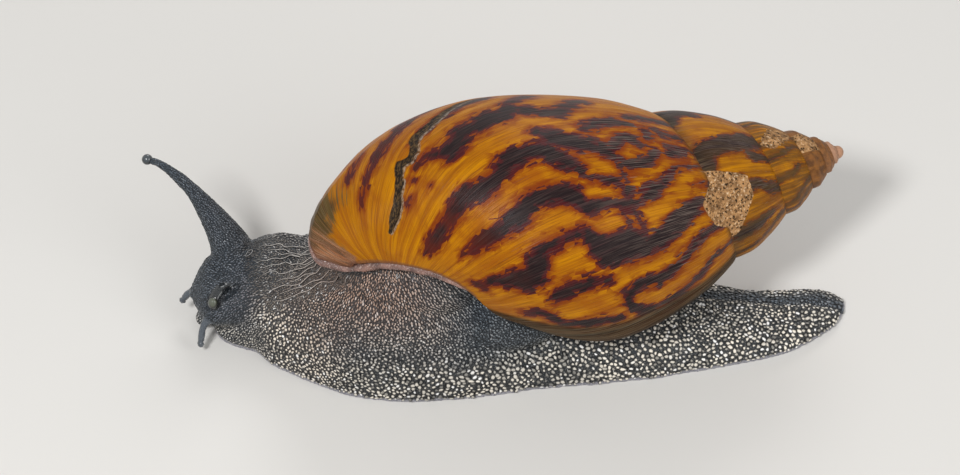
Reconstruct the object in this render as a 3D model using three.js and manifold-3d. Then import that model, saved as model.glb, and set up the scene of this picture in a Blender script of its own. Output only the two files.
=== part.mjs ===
// A giant African land snail, life size, crawling with its head drawn slightly to its left.
// Millimetres, +Z up. The head points to -X and the tail to +X, the animal's left side is -Y,
// and the origin lies on the flat sole, below the middle of the body.
// The shell is a dextral spiral: one profile, from suture to base, that grows as it turns about
// a leaning axis. The flesh is lofted along the body and parted by thin cuts into its named parts.

import * as THREE from 'three';
import { mergeVertices } from 'three/addons/utils/BufferGeometryUtils.js';
import { ParametricGeometry } from 'three/addons/geometries/ParametricGeometry.js';
import Module from 'manifold-3d';

const wasm = await Module();
wasm.setup();

// ---------------------------------------------------------------- driving dimensions

const gap = 0.3;                                  // kept between neighbouring pieces
const turn = 2 * Math.PI;

const shellSize = {
  apex: new THREE.Vector3(110.4, 30.7, 47.5),     // tip of the spire
  axis: new THREE.Vector3(0.9485, 0.3085, 0.0719),// from the base towards the apex
  startAzimuth: THREE.MathUtils.degToRad(46),     // azimuth of turn 0, from the top towards +Y
  whorls: 6.6,
  spireBead: 1.5,                                 // radius of the first, rounded whorl
  baseHollow: 0.15,                               // how far the base is hollow, of its distance from the apex
  axisCore: 0.6,                                  // radius left for the columella to fill
  columella: [1, 1.6],                            // its radius by the apex and by the base
  coreLength: 128,
  stepsPerTurn: 34,
  spireStepsPerTurn: 18,
  profileSteps: 10,
  // [distance from the apex along the axis, radius], suture to base, at turn 0 and half a turn before it
  profileNow: [[54.7, 28.2], [70, 36.8], [93.1, 44.2], [111.6, 46.6], [131.1, 44.2], [147.6, 36.8], [160, 27], [164.4, 16], [157.5, 7]],
  profileBefore: [[40.7, 22.3], [52.2, 28.9], [68.5, 34.2], [84.4, 35], [98, 29.8], [109.3, 19.6], [117.6, 10.4], [124, 4.8], [128, 2.2]],
  lipLag: [0.20, 0.21, 0.215, 0.21, 0.20, 0.185, 0.165, 0.13, 0.09],   // turns by which the lip trails
  lateGrowthLoss: [0, 0, 0.1, 0.3, 0.5, 0.75, 0.9, 0.95, 1],           // growth lost after turn 0
};

const collarSize = { reach: 0.022, inset: 2.2 };
const rimSize = { radius: 1.5, turns: 0.46, offset: new THREE.Vector3(0, -0.7, -1.3), steps: 14 };

// [x, centre y, half width, height, lean of the crest] of the foot and back, nose to tail
const bodyStations = [
  [-83.2, 2.5, 1.6, 2.2, 0], [-80.5, 1.6, 5.6, 4.6, 0], [-76, 1.8, 9.6, 9, 0], [-69, 3.2, 13.4, 18.5, 0],
  [-63.5, 3.8, 19.2, 24, 0], [-55, 3.6, 23.7, 27.6, -1], [-43, 0.2, 26.2, 36.5, -6], [-30, -1.9, 27.3, 38, -8],
  [-18, -2.3, 27.4, 35, -7], [-5, -1.9, 26.8, 30, -4], [12, -0.6, 25.2, 24, -1], [30, 0.4, 23.9, 19.5, 0],
  [50, 0.3, 21.4, 15, 0], [67, -0.3, 17.4, 10.8, 0], [82, -0.4, 13.9, 8.2, 0], [94, 1.6, 12.2, 6.9, 0],
  [103, 4.6, 9.8, 5.6, 0], [109.5, 7, 6.2, 3.9, 0], [113.6, 9, 1.2, 1.5, 0],
];
// rows along and points around of the lofted flesh
const facets = { bodyRows: 40, bodyAround: 16, headRows: 20, headAround: 18, swellingAround: 16 };
const footRim = 1.2;                              // thickness of the sole's edge
const backFullness = 1.15;                        // 1 is an ellipse, more is boxier

// [x, centre y, centre z, half width, half height] of the neck and head, back to front
const headStations = [
  [-46, 3.4, 13.5, 18, 12], [-60, 4.6, 13.2, 16.5, 11.4], [-68, 5.2, 13, 13.6, 10], [-76, 5.2, 12, 12.2, 9.4],
  [-82.6, 5.6, 12, 12, 9.9], [-86, 5.4, 12, 7.6, 6.6], [-88.9, 4.8, 11.6, 1.6, 1.4],
];

// the flesh that swells up into the shell's mouth, and behind the long feeler
const swellings = [
  { centre: [-18, -8, 37.4], radii: [24.85, 16.35, 12.55] },
  { centre: [-36, 1, 31], radii: [13.35, 15.35, 11.85] },
  { centre: [5, -8.6, 25.5], radii: [24.35, 17.35, 15.85] },
  { centre: [-61, 9.3, 15.4], radii: [15.85, 12.55, 12.55] },
];

// the space left in the flesh for the columella's foot, where thin edges of the shell's base meet
const columellaRoom = { centre: [-10.2, -10.3, 37.7], radii: [12, 7.5, 3.6] };

const cuts = { headX: -69, neckX: -43, skirtZ: 6.2, rearX: 20, tailX: 67 };

const tentacles = {
  upperRight: {
    path: [[-74.6, 10, 12.5], [-76.8, 14.2, 23.6], [-84.8, 19.3, 37.3], [-90.6, 21.8, 44.2], [-96.4, 23.8, 48.6], [-100.6, 25.2, 49.4]],
    radii: [9.6, 6, 2.8, 1.75, 1.05, 1.0],
    steps: 16,
    splitAt: 0.56,
    eyeRadius: 1.7,
  },
  upperLeft: {
    path: [[-76, 1.5, 15], [-78.6, -1.2, 19], [-80.9, -4.9, 18]],
    radii: [3.4, 2.3, 1.7],
    steps: 5,
    eyeRadius: 2.3,
  },
  lowerRight: { path: [[-84.5, 5.6, 11.5], [-89, 5.8, 10.7], [-91.8, 5.2, 7.2]], radii: [1.9, 1.25, 0.95], steps: 5, knobRadius: 1.2 },
  lowerLeft: { path: [[-81, -2, 11], [-84.4, -6.2, 8.8], [-85.4, -9.8, 3.9]], radii: [1.9, 1.25, 0.95], steps: 5, knobRadius: 1.2 },
};
const mouthSize = { centre: [-85.2, 2.1, 5.4], radii: [3.2, 5.6, 2.9] };

// ---------------------------------------------------------------- finishes

const finishes = {
  shell: new THREE.MeshStandardMaterial({ name: 'shell', color: '#b8761c', roughness: 0.35, metalness: 0 }),
  mantle: new THREE.MeshStandardMaterial({ name: 'mantle', color: '#94706a', roughness: 0.45, metalness: 0 }),
  flesh: new THREE.MeshStandardMaterial({ name: 'flesh', color: '#5c5f63', roughness: 0.5, metalness: 0 }),
  eye: new THREE.MeshStandardMaterial({ name: 'eye', color: '#14161c', roughness: 0.15, metalness: 0 }),
};

// ---------------------------------------------------------------- solids and booleans

// a closed three.js geometry as a manifold-3d solid with its faces pointing out
function toSolid(geometry) {
  const bare = geometry.clone();
  bare.deleteAttribute('normal');
  bare.deleteAttribute('uv');
  const welded = mergeVertices(bare, 1e-4);
  const points = welded.attributes.position;
  const corner = i => new THREE.Vector3().fromBufferAttribute(points, i);
  const faces = [];
  let volume = 0;
  for (let i = 0; i < welded.index.count; i += 3) {
    const [a, b, c] = [0, 1, 2].map(k => welded.index.getX(i + k));
    if (a === b || b === c || c === a) continue;
    faces.push([a, b, c]);
    volume += corner(a).dot(corner(b).cross(corner(c)));
  }
  const outward = volume < 0 ? faces.map(([a, b, c]) => [a, c, b]) : faces;
  const triVerts = Uint32Array.from(outward.flat());
  return new wasm.Manifold(new wasm.Mesh({ numProp: 3, vertProperties: points.array, triVerts }));
}

function toGeometry(solid) {
  const { vertProperties, triVerts } = solid.getMesh();
  const geometry = new THREE.BufferGeometry();
  geometry.setAttribute('position', new THREE.BufferAttribute(vertProperties, 3));
  geometry.setIndex(new THREE.BufferAttribute(triVerts, 1));
  geometry.computeVertexNormals();
  return geometry;
}

// the largest of the separate bodies that a cut leaves
function mainBody(solid) {
  return solid.decompose().sort((a, b) => b.volume() - a.volume())[0];
}

const joined = solids => solids.reduce((whole, piece) => whole.add(piece));

// a tube of closed rings: ringPoint(s, w, target) for s along and w around, both 0 to 1;
// the first and last rows close on the middle of their ring
function closedLoft(ringPoint, along, around) {
  const middle = s => {
    const sum = new THREE.Vector3();
    const point = new THREE.Vector3();
    for (let i = 0; i < around; i++) {
      ringPoint(s, i / around, point);
      sum.add(point);
    }
    return sum.divideScalar(around);
  };
  const ends = [middle(0), middle(1)];
  const rows = along + 2;
  const surface = (w, row, target) => {
    const r = Math.round(row * rows);
    if (r === 0) return target.copy(ends[0]);
    if (r === rows) return target.copy(ends[1]);
    return ringPoint((r - 1) / along, Math.round(w * around) % around / around, target);
  };
  return new ParametricGeometry(surface, around, rows);
}

// a smooth curve of any number of values through evenly numbered stations
function throughStations(stations) {
  const columns = stations[0].map((_, k) => new THREE.SplineCurve(stations.map((row, i) => new THREE.Vector2(i, row[k]))));
  return s => columns.map(curve => curve.getPoint(THREE.MathUtils.clamp(s, 0, 1)).y);
}

// the whole space between two planes across an axis, as a box far larger than the animal
function slab(axis, low, high) {
  const far = 400;
  const size = [far, far, far];
  const centre = [0, 0, 0];
  size[axis] = high - low;
  centre[axis] = (low + high) / 2;
  return toSolid(new THREE.BoxGeometry(...size).translate(...centre));
}

function ellipsoid(centre, radii, around = 14) {
  const ball = new THREE.SphereGeometry(1, around, Math.round(around / 2));
  return toSolid(ball.scale(...radii).translate(...centre));
}

// ---------------------------------------------------------------- shell

const profileNow = throughStations(shellSize.profileNow);
const profileBefore = throughStations(shellSize.profileBefore);
const lipLag = throughStations(shellSize.lipLag.map(value => [value]));
const lateLoss = throughStations(shellSize.lateGrowthLoss.map(value => [value]));
const shellAxis = shellSize.axis.clone().normalize();
const shellTop = new THREE.Vector3(0, 0, 1).addScaledVector(shellAxis, -shellAxis.z).normalize();
const shellRight = new THREE.Vector3().crossVectors(shellTop, shellAxis).normalize();

// distance along the axis and radius of profile place v after `turns`, growing as a log spiral
function shellSection(turns, v) {
  const now = profileNow(v);
  const before = profileBefore(v);
  const growth = turns > 0 ? turns * (1 - lateLoss(v)[0]) : turns;
  return now.map((size, k) => size * (size / before[k]) ** (2 * growth));
}

function onAxis(turns, along, radius, target) {
  const azimuth = shellSize.startAzimuth + turn * turns;
  return target.copy(shellSize.apex)
    .addScaledVector(shellAxis, -along)
    .addScaledVector(shellTop, radius * Math.cos(azimuth))
    .addScaledVector(shellRight, radius * Math.sin(azimuth));
}

// one closed ring of the filled whorl: its profile, pushed out by `grow`, then back along the core
function whorlRing(late, w, grow, target) {
  const count = shellSize.profileSteps + 3;
  const place = Math.round(w * count);
  if (place <= shellSize.profileSteps) {
    const v = place / shellSize.profileSteps;
    const turns = late + lipLag(v)[0];
    const [along, radius] = shellSection(turns, v);
    const step = 0.01;
    const [a0, r0] = shellSection(turns, Math.max(v - step, 0));
    const [a1, r1] = shellSection(turns, Math.min(v + step, 1));
    const length = Math.hypot(a1 - a0, r1 - r0);
    return onAxis(turns, along - grow * (r1 - r0) / length, radius + grow * (a1 - a0) / length, target);
  }
  const v = place === shellSize.profileSteps + 1 ? 1 : 0;
  const turns = late + lipLag(v)[0];
  const along = shellSection(turns, v)[0] * (v ? 1 - shellSize.baseHollow : 1);
  return onAxis(turns, along + (v ? grow : -grow), shellSize.axisCore, target);
}

function shellSolid(grow, lip) {
  const arc = 0.75;                               // turns in one piece, so that none meets itself
  const pieces = [];
  for (let end = lip; end > -shellSize.whorls; end -= arc) {
    const start = end - arc;
    const steps = Math.round(arc * (end > -1.4 ? shellSize.stepsPerTurn : shellSize.spireStepsPerTurn));
    const ring = (s, w, target) => whorlRing(start + s * arc, w, grow, target);
    pieces.push(toSolid(closedLoft(ring, steps, shellSize.profileSteps + 3)));
  }
  const { coreLength, columella } = shellSize;
  const core = new THREE.CylinderGeometry(columella[0] + grow, columella[1] + grow, coreLength + 2 * grow, 8);
  core.applyQuaternion(new THREE.Quaternion().setFromUnitVectors(new THREE.Vector3(0, 1, 0), shellAxis));
  core.translate(...shellSize.apex.clone().addScaledVector(shellAxis, -coreLength / 2 - 1).toArray());
  const bead = ellipsoid(shellSize.apex.clone().addScaledVector(shellAxis, -1.2).toArray(), Array(3).fill(shellSize.spireBead + grow), 10);
  return joined([...pieces, toSolid(core), bead]);
}

const shell = shellSolid(0, 0);
const shellRoom = shellSolid(gap, 0.002);

// ---------------------------------------------------------------- mantle collar

// the mantle in the mouth of the shell: the lip's section carried on a little way, drawn in from the lip
function mantleCollar(grow) {
  const start = -0.012;
  const reach = collarSize.reach + (grow > 0 ? 0.002 : 0);
  const lipPad = (s, w, target) => whorlRing(start + s * (reach - start), w, grow - collarSize.inset, target);
  return toSolid(closedLoft(lipPad, 3, shellSize.profileSteps + 3));
}

// the mantle's rolled rim, which shows under the inner lip all along the base
function mantleRim(grow) {
  const { radius, turns, offset, steps } = rimSize;
  const stops = 8;
  const innerLip = new THREE.CatmullRomCurve3(Array.from({ length: stops }, (_, i) => {
    const place = lipLag(1)[0] - i / (stops - 1) * turns;
    const [along, out] = shellSection(place, 1);
    return onAxis(place, along, out, new THREE.Vector3()).add(offset);
  }));
  return toSolid(taperedTube(innerLip, () => radius + grow, steps, 8));
}

// ---------------------------------------------------------------- flesh

// a closed tube along a curve, its radius a function of the place s along it, 0 to 1
function taperedTube(curve, radiusAt, steps, sides = 10) {
  const frames = curve.computeFrenetFrames(steps, false);
  const ring = (s, w, target) => {
    const i = Math.round(s * steps);
    const angle = w * turn;
    return target.copy(curve.getPointAt(s))
      .addScaledVector(frames.normals[i], radiusAt(s) * Math.cos(angle))
      .addScaledVector(frames.binormals[i], radiusAt(s) * Math.sin(angle));
  };
  return closedLoft(ring, steps, sides);
}

// foot and back: a flat sole with a low upright rim, under a full elliptical arch
function bodySolid(grow) {
  const station = throughStations(bodyStations);
  const around = facets.bodyAround;
  const ring = (s, w, target) => {
    const [x, centre, halfWidth, height, lean] = station(s);
    const place = Math.round(w * around);
    if (place === 0) return target.set(x, centre - halfWidth - grow, 0);
    if (place === around - 1) return target.set(x, centre + halfWidth + grow, 0);
    const angle = Math.PI * (place - 1) / (around - 3);
    const arch = Math.max(Math.sin(angle), 0) ** (1 / backFullness);
    const y = centre + lean * arch ** 2 - (halfWidth + grow) * Math.cos(angle);
    return target.set(x, y, footRim + (height - footRim + grow) * arch);
  };
  return toSolid(closedLoft(ring, facets.bodyRows, around));
}

function headSolid(grow) {
  const station = throughStations(headStations);
  const ring = (s, w, target) => {
    const [x, y, z, halfWidth, halfHeight] = station(s);
    const angle = w * turn;
    return target.set(x, y + (halfWidth + grow) * Math.cos(angle), z + (halfHeight + grow) * Math.sin(angle));
  };
  return toSolid(closedLoft(ring, facets.headRows, facets.headAround));
}

// foot, back, neck and head in one, pushed out by `grow`
function wholeFlesh(grow) {
  const swollen = swellings.map(({ centre, radii }) => {
    return ellipsoid(centre, radii.map(radius => radius + grow), facets.swellingAround);
  });
  return joined([bodySolid(grow), headSolid(grow), ...swollen]);
}

const bodyRoom = wholeFlesh(gap);
const hiddenRoom = joined([mantleCollar(gap), mantleRim(gap), ellipsoid(columellaRoom.centre, columellaRoom.radii)]);
const flesh = wholeFlesh(0).subtract(shellRoom).subtract(hiddenRoom);

// the part of the flesh between two x planes and two heights, half a gap inside each
function fleshBetween(lowX, highX, lowZ, highZ) {
  const half = gap / 2;
  return flesh.intersect(slab(0, lowX + half, highX - half)).intersect(slab(2, lowZ + half, highZ - half));
}

function curveThrough(path) {
  return new THREE.CatmullRomCurve3(path.map(point => new THREE.Vector3(...point)), false, 'centripetal');
}

// a feeler grown out of the head: its tube less the head, and the eye or knob at its end
function feeler({ path, radii, steps, eyeRadius }) {
  const curve = curveThrough(path);
  const radius = throughStations(radii.map(value => [value]));
  const tube = toSolid(taperedTube(curve, s => radius(s)[0], steps));
  if (!eyeRadius) return { tube: tube.subtract(bodyRoom) };
  const end = path.at(-1);
  const ball = grow => ellipsoid(end, Array(3).fill(eyeRadius + grow), 12);
  return { tube: tube.subtract(bodyRoom).subtract(ball(gap)), eye: ball(0), eyeRoom: ball(gap) };
}

// a lower feeler ends in a rounded knob of its own flesh
function lowerFeeler(size) {
  const knob = ellipsoid(size.path.at(-1), Array(3).fill(size.knobRadius), 10);
  return feeler(size).tube.add(knob);
}

// the long right feeler is parted across its middle by a plane square to it
function splitFeeler(size) {
  const { tube, eye } = feeler(size);
  const curve = curveThrough(size.path);
  const middle = curve.getPointAt(size.splitAt);
  const along = curve.getTangentAt(size.splitAt);
  const normal = along.toArray();
  const place = middle.dot(along);
  const base = tube.trimByPlane(normal.map(value => -value), gap / 2 - place);
  const tip = tube.trimByPlane(normal, place + gap / 2);
  return { base, tip, eye };
}

// ---------------------------------------------------------------- the animal

const upperRight = splitFeeler(tentacles.upperRight);
const upperLeft = feeler(tentacles.upperLeft);
const far = 300;
const pieces = [
  ['shell', shell, finishes.shell],
  ['mantle_collar', mantleCollar(0).subtract(shellRoom).subtract(mantleRim(gap)), finishes.mantle],
  ['mantle_rim', mantleRim(0).subtract(shellRoom), finishes.mantle],
  ['head', fleshBetween(-far, cuts.headX, cuts.skirtZ, far).subtract(upperLeft.eyeRoom), finishes.flesh],
  ['mouth', ellipsoid(mouthSize.centre, mouthSize.radii).subtract(bodyRoom), finishes.flesh],
  ['neck', fleshBetween(cuts.headX, cuts.neckX, cuts.skirtZ, far), finishes.flesh],
  ['foot_front', fleshBetween(-far, cuts.neckX, -far, cuts.skirtZ), finishes.flesh],
  ['trunk', fleshBetween(cuts.neckX, cuts.rearX, -far, far), finishes.flesh],
  ['foot_rear', fleshBetween(cuts.rearX, cuts.tailX, -far, far), finishes.flesh],
  ['tail', fleshBetween(cuts.tailX, far, -far, far), finishes.flesh],
  ['tentacle_upper_right_base', upperRight.base, finishes.flesh],
  ['tentacle_upper_right_tip', upperRight.tip, finishes.flesh],
  ['eye_right', upperRight.eye, finishes.eye],
  ['tentacle_upper_left', upperLeft.tube, finishes.flesh],
  ['eye_left', upperLeft.eye, finishes.eye],
  ['tentacle_lower_right', lowerFeeler(tentacles.lowerRight), finishes.flesh],
  ['tentacle_lower_left', lowerFeeler(tentacles.lowerLeft), finishes.flesh],
];

const snail = new THREE.Group();
snail.name = 'giant_african_land_snail';
for (const [name, solid, finish] of pieces) {
  const mesh = new THREE.Mesh(toGeometry(mainBody(solid)), finish);
  mesh.name = name;
  snail.add(mesh);
}

export default snail;
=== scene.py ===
# A giant African land snail, life size, as a still museum model.
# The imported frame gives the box, the nodes and the body that every piece rides on.
# Sizes below are millimetres in the frame's axes: the head points to -X, the sole lies on Z = 0.
import math

import bpy
import numpy as np
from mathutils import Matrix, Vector
from mathutils.bvhtree import BVHTree
from mathutils.kdtree import KDTree


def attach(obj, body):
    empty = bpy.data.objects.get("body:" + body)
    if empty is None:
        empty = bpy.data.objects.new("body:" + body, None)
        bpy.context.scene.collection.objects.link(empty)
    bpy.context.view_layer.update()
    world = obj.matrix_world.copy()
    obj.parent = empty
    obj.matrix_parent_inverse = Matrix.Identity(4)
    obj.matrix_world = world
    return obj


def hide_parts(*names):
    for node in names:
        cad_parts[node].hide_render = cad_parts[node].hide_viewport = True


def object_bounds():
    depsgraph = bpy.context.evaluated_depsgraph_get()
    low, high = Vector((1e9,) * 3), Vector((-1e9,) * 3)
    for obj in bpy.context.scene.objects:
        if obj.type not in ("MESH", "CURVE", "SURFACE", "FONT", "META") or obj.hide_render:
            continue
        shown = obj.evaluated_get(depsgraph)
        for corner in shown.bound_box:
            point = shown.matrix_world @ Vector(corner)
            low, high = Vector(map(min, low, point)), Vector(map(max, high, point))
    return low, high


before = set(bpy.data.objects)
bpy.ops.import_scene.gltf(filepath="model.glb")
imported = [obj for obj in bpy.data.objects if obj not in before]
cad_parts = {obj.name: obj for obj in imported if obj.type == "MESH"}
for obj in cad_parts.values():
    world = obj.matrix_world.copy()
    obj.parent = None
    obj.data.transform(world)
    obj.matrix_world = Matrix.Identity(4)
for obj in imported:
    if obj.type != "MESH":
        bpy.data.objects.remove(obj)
cadLow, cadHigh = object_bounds()

mm = 0.001
# every point stays this side of the box of the plain solids
boxLow = np.array(cadLow) / mm + 0.05
boxHigh = np.array(cadHigh) / mm - 0.05
fullTurn = 2 * math.pi
scene = bpy.context.scene


# numbers: curves, steps and noise, all on whole arrays

# an S-shaped step: with t the share of the way from low to high, 3 t squared less 2 t cubed
def smoothStep(low, high, x):
    t = np.clip((x - low) / (high - low), 0, 1)
    return t * t * (3 - 2 * t)


# Catmull-Rom curve through evenly numbered rows, s from 0 to 1, the end rows held: each leg is the cubic
# that leaves and arrives at half the step between the rows on either side
def throughRows(table, s):
    rows = np.asarray(table, float)
    last = len(rows) - 1
    place = np.clip(s, 0, 1) * last
    i = np.clip(np.floor(place).astype(int), 0, last - 1)
    f = (place - i)[..., None]
    before, here = rows[np.maximum(i - 1, 0)], rows[i]
    there, after = rows[i + 1], rows[np.minimum(i + 2, last)]
    leave, arrive = (there - before) / 2, (after - here) / 2
    return ((2 * here - 2 * there + leave + arrive) * f ** 3
            + (3 * there - 3 * here - 2 * leave - arrive) * f ** 2 + leave * f + here)


# the same curve through plain numbers
def throughNumbers(numbers, s):
    return throughRows(np.array(numbers, float)[:, None], s)[..., 0]


# a fixed random number from 0 to 1 for each whole-numbered cell: the fraction of a very large sine
def latticeValue(cell, seed):
    mixed = (cell * np.array([127.1, 311.7, 74.7])[:cell.shape[-1]]).sum(-1) + seed * 19.19
    return np.mod(np.sin(mixed) * 43758.5453, 1.0)


# value noise from -1 to 1: random numbers on a lattice of this size, blended by smooth steps
def smoothNoise(points, size, seed):
    scaled = points / size
    base = np.floor(scaled)
    f = scaled - base
    f = f * f * (3 - 2 * f)
    total = np.zeros(points.shape[:-1])
    for corner in np.ndindex(*([2] * points.shape[-1])):
        weight = np.prod(np.where(np.array(corner) == 1, f, 1 - f), -1)
        total += weight * latticeValue(base + corner, seed)
    return total * 2 - 1


# vectors divided by their own lengths
def unit(vectors):
    return vectors / np.maximum(np.linalg.norm(vectors, axis=-1, keepdims=True), 1e-9)


# cross product of the grid's two directions, turned so that most of them point along outward
def gridNormals(points, outward):
    normal = unit(np.cross(np.gradient(points, axis=0), np.gradient(points, axis=1)))
    side = np.sign(np.median((normal * outward).sum(-1)))
    return normal * (side or 1)


# meshes: from grids of points to pieces

# a quad between each four neighbours of a grid; closed joins the last column to the first
def gridFaces(rows, columns, closed=False):
    index = np.arange(rows * columns).reshape(rows, columns)
    if closed:
        index = np.concatenate([index, index[:, :1]], 1)
    corners = [index[:-1, :-1], index[:-1, 1:], index[1:, 1:], index[1:, :-1]]
    return np.stack(corners, -1).reshape(-1, 4)


# the faces of a grid, looking outwards
def outwardFaces(points, closed=False):
    return turnOutward(points.reshape(-1, 3), gridFaces(*points.shape[:2], closed=closed))


# a face looks outwards where its normal runs along its place from the middle; all are turned round if the
# sum of those products is negative
def turnOutward(points, faces):
    a, b, c = points[faces[:, 0]], points[faces[:, 1]], points[faces[:, 2]]
    looks = (np.cross(b - a, c - a) * (a - points.mean(0))).sum()
    return faces if looks > 0 else faces[:, ::-1]


# a flat place for every point of an open sheet: its column and its row, as shares of the sheet
def sheetMap(points):
    rows, columns = points.shape[:2]
    return np.stack(np.meshgrid(np.linspace(0.01, 0.99, columns), np.linspace(0.01, 0.99, rows)), -1)


# one number per point under each name
def writeAttributes(mesh, values):
    for key, numbers in values.items():
        made = mesh.attributes.new(key, "FLOAT", "POINT")
        made.data.foreach_set("value", numbers.ravel().astype(np.float32))


# a mesh from points in mm, with numbers for each point and UV maps that hold one pair for each point
def makeMesh(name, points, faces, attributes=None, uvMaps=None):
    mesh = bpy.data.meshes.new(name)
    mesh.from_pydata((points.reshape(-1, 3) * mm).tolist(), [], faces.tolist())
    mesh.update()
    writeAttributes(mesh, attributes or {})
    loopPoint = np.empty(len(mesh.loops), np.int32)
    mesh.loops.foreach_get("vertex_index", loopPoint)
    for key, values in (uvMaps or {}).items():
        layer = mesh.uv_layers.new(name=key)
        layer.data.foreach_set("uv", values.reshape(-1, 2)[loopPoint].astype(np.float32).ravel())
    mesh.shade_smooth()
    return mesh


# a new object for a mesh, a lamp or the camera, linked to the scene
def newObject(name, data):
    made = bpy.data.objects.new(name, data)
    scene.collection.objects.link(made)
    return made


# a piece of the snail: its finish and slot, the body that it rides on and the plain nodes it replaces
def addPiece(name, mesh, material, replaced=()):
    piece = newObject(name, mesh)
    mesh.materials.append(material)
    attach(piece, "root")
    if replaced:
        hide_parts(*replaced)
    return piece


# materials: small helpers, then one function for each finish

# a screen colour as the linear numbers that a shader takes: the screen's curve undone
def rgb(hexCode):
    parts = [int(hexCode[i:i + 2], 16) / 255 for i in (0, 2, 4)]
    return tuple(p / 12.92 if p <= 0.04045 else ((p + 0.055) / 1.055) ** 2.4 for p in parts) + (1,)


# a socket linked to another, or set to a plain value
def plug(tree, socket, value):
    if isinstance(value, bpy.types.NodeSocket):
        tree.links.new(value, socket)
    else:
        socket.default_value = value


# a shader node with its settings and its inputs
def put(tree, kind, inputs=None, **settings):
    made = tree.nodes.new("ShaderNode" + kind)
    for key, value in settings.items():
        setattr(made, key, value)
    for key, value in (inputs or {}).items():
        plug(tree, made.inputs[key], value)
    return made


# the first colour at factor 0, the second at factor 1
def mixColour(tree, factor, first, second):
    return put(tree, "Mix", {0: factor, 6: first, 7: second}, data_type="RGBA").outputs[2]


# one step of arithmetic on two values
def worked(tree, operation, first, second):
    return put(tree, "Math", {0: first, 1: second}, operation=operation).outputs[0]


# first plus second
def plus(tree, first, second):
    return worked(tree, "ADD", first, second)


# first less second
def minus(tree, first, second):
    return worked(tree, "SUBTRACT", first, second)


# first times second
def times(tree, first, second):
    return worked(tree, "MULTIPLY", first, second)


# the larger of the two
def larger(tree, first, second):
    return worked(tree, "MAXIMUM", first, second)


# a noise moved to swing about nought: its distance from a half, times the reach
def swing(tree, noise, reach):
    return times(tree, minus(tree, noise, 0.5), reach)


# a smooth step of the value between low and high, from start to end
def ramp(tree, value, low, high, start=0.0, end=1.0):
    inputs = {0: value, 1: low, 2: high, 3: start, 4: end}
    return put(tree, "MapRange", inputs, interpolation_type="SMOOTHSTEP").outputs[0]


# the number that a mesh holds under this name
def reading(tree, attribute):
    return put(tree, "Attribute", attribute_name=attribute).outputs["Fac"]


# the place on the piece itself
def ownPlace(tree):
    return put(tree, "TexCoord").outputs["Object"]


# cloudy noise, about 0.5 on average
def noiseAt(tree, vector, scale, detail=3.0, roughness=0.5):
    inputs = {"Vector": vector, "Scale": scale, "Detail": detail, "Roughness": roughness}
    return put(tree, "TexNoise", inputs).outputs["Fac"]


# a vector multiplied by a scale for each direction
def stretched(tree, vector, scale):
    return put(tree, "Mapping", {"Vector": vector, "Scale": scale}).outputs[0]


# a material with its node tree and its shader
def newMaterial(name):
    material = bpy.data.materials.new(name)
    material.use_nodes = True
    return material, material.node_tree, material.node_tree.nodes["Principled BSDF"]


# the shader's sockets, under short names
def finishWith(tree, shader, **sockets):
    names = {"colour": "Base Color", "roughness": "Roughness", "normal": "Normal", "coat": "Coat Weight",
             "coatRoughness": "Coat Roughness", "level": "Specular IOR Level"}
    for key, value in sockets.items():
        plug(tree, shader.inputs[names[key]], value)


# the surface tilted by the slope of a height that stands this far out, in metres
def bumped(tree, height, distance, strength):
    inputs = {"Height": height, "Distance": distance, "Strength": strength}
    return put(tree, "Bump", inputs).outputs[0]


# a shared effect: soft mottling from light to dark, and a fine wet grain for the bump
def mottleGroup():
    tree = bpy.data.node_groups.new("mottle", "ShaderNodeTree")
    for name, kind in {"Vector": "Vector", "Patch": "Float", "Grain": "Float"}.items():
        tree.interface.new_socket(name, in_out="INPUT", socket_type="NodeSocket" + kind)
    for name in ("Mottle", "Height"):
        tree.interface.new_socket(name, in_out="OUTPUT", socket_type="NodeSocketFloat")
    given = tree.nodes.new("NodeGroupInput")
    result = tree.nodes.new("NodeGroupOutput")
    patch = noiseAt(tree, given.outputs["Vector"], given.outputs["Patch"], 4)
    grain = noiseAt(tree, given.outputs["Vector"], given.outputs["Grain"], 2)
    tree.links.new(ramp(tree, patch, 0.3, 0.7), result.inputs["Mottle"])
    tree.links.new(grain, result.inputs["Height"])
    return tree


mottle = mottleGroup()


# the shared effect in one material, with its own patch and grain scales
def useMottle(tree, vector, patch, grain):
    made = put(tree, "Group", {"Vector": vector, "Patch": patch, "Grain": grain}, node_tree=mottle)
    return made.outputs["Mottle"], made.outputs["Height"]


# camera: lengths in mm, elevation in degrees
view = {"target": (0, 15.4, 25), "elevation": 48, "distance": 900, "lens": 110.2, "sensor": 36}


# back from the target along a line that rises by the elevation, over the snail's left side
def makeCamera():
    data = bpy.data.cameras.new("camera")
    data.lens = view["lens"]
    data.sensor_width = view["sensor"]
    camera = newObject("camera", data)
    up = math.radians(view["elevation"])
    back = Vector((0, -math.cos(up), math.sin(up)))
    camera.location = (Vector(view["target"]) + back * view["distance"]) * mm
    camera.rotation_euler = (math.pi / 2 - up, 0, 0)
    scene.camera = camera


makeCamera()
print("camera placed")


# shell: one profile, from suture to base, that grows as it turns about a leaning axis
# a place on it is an age in turns, 0 at the lip and -1 a turn before it, and a share across, 0 at the suture

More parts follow.
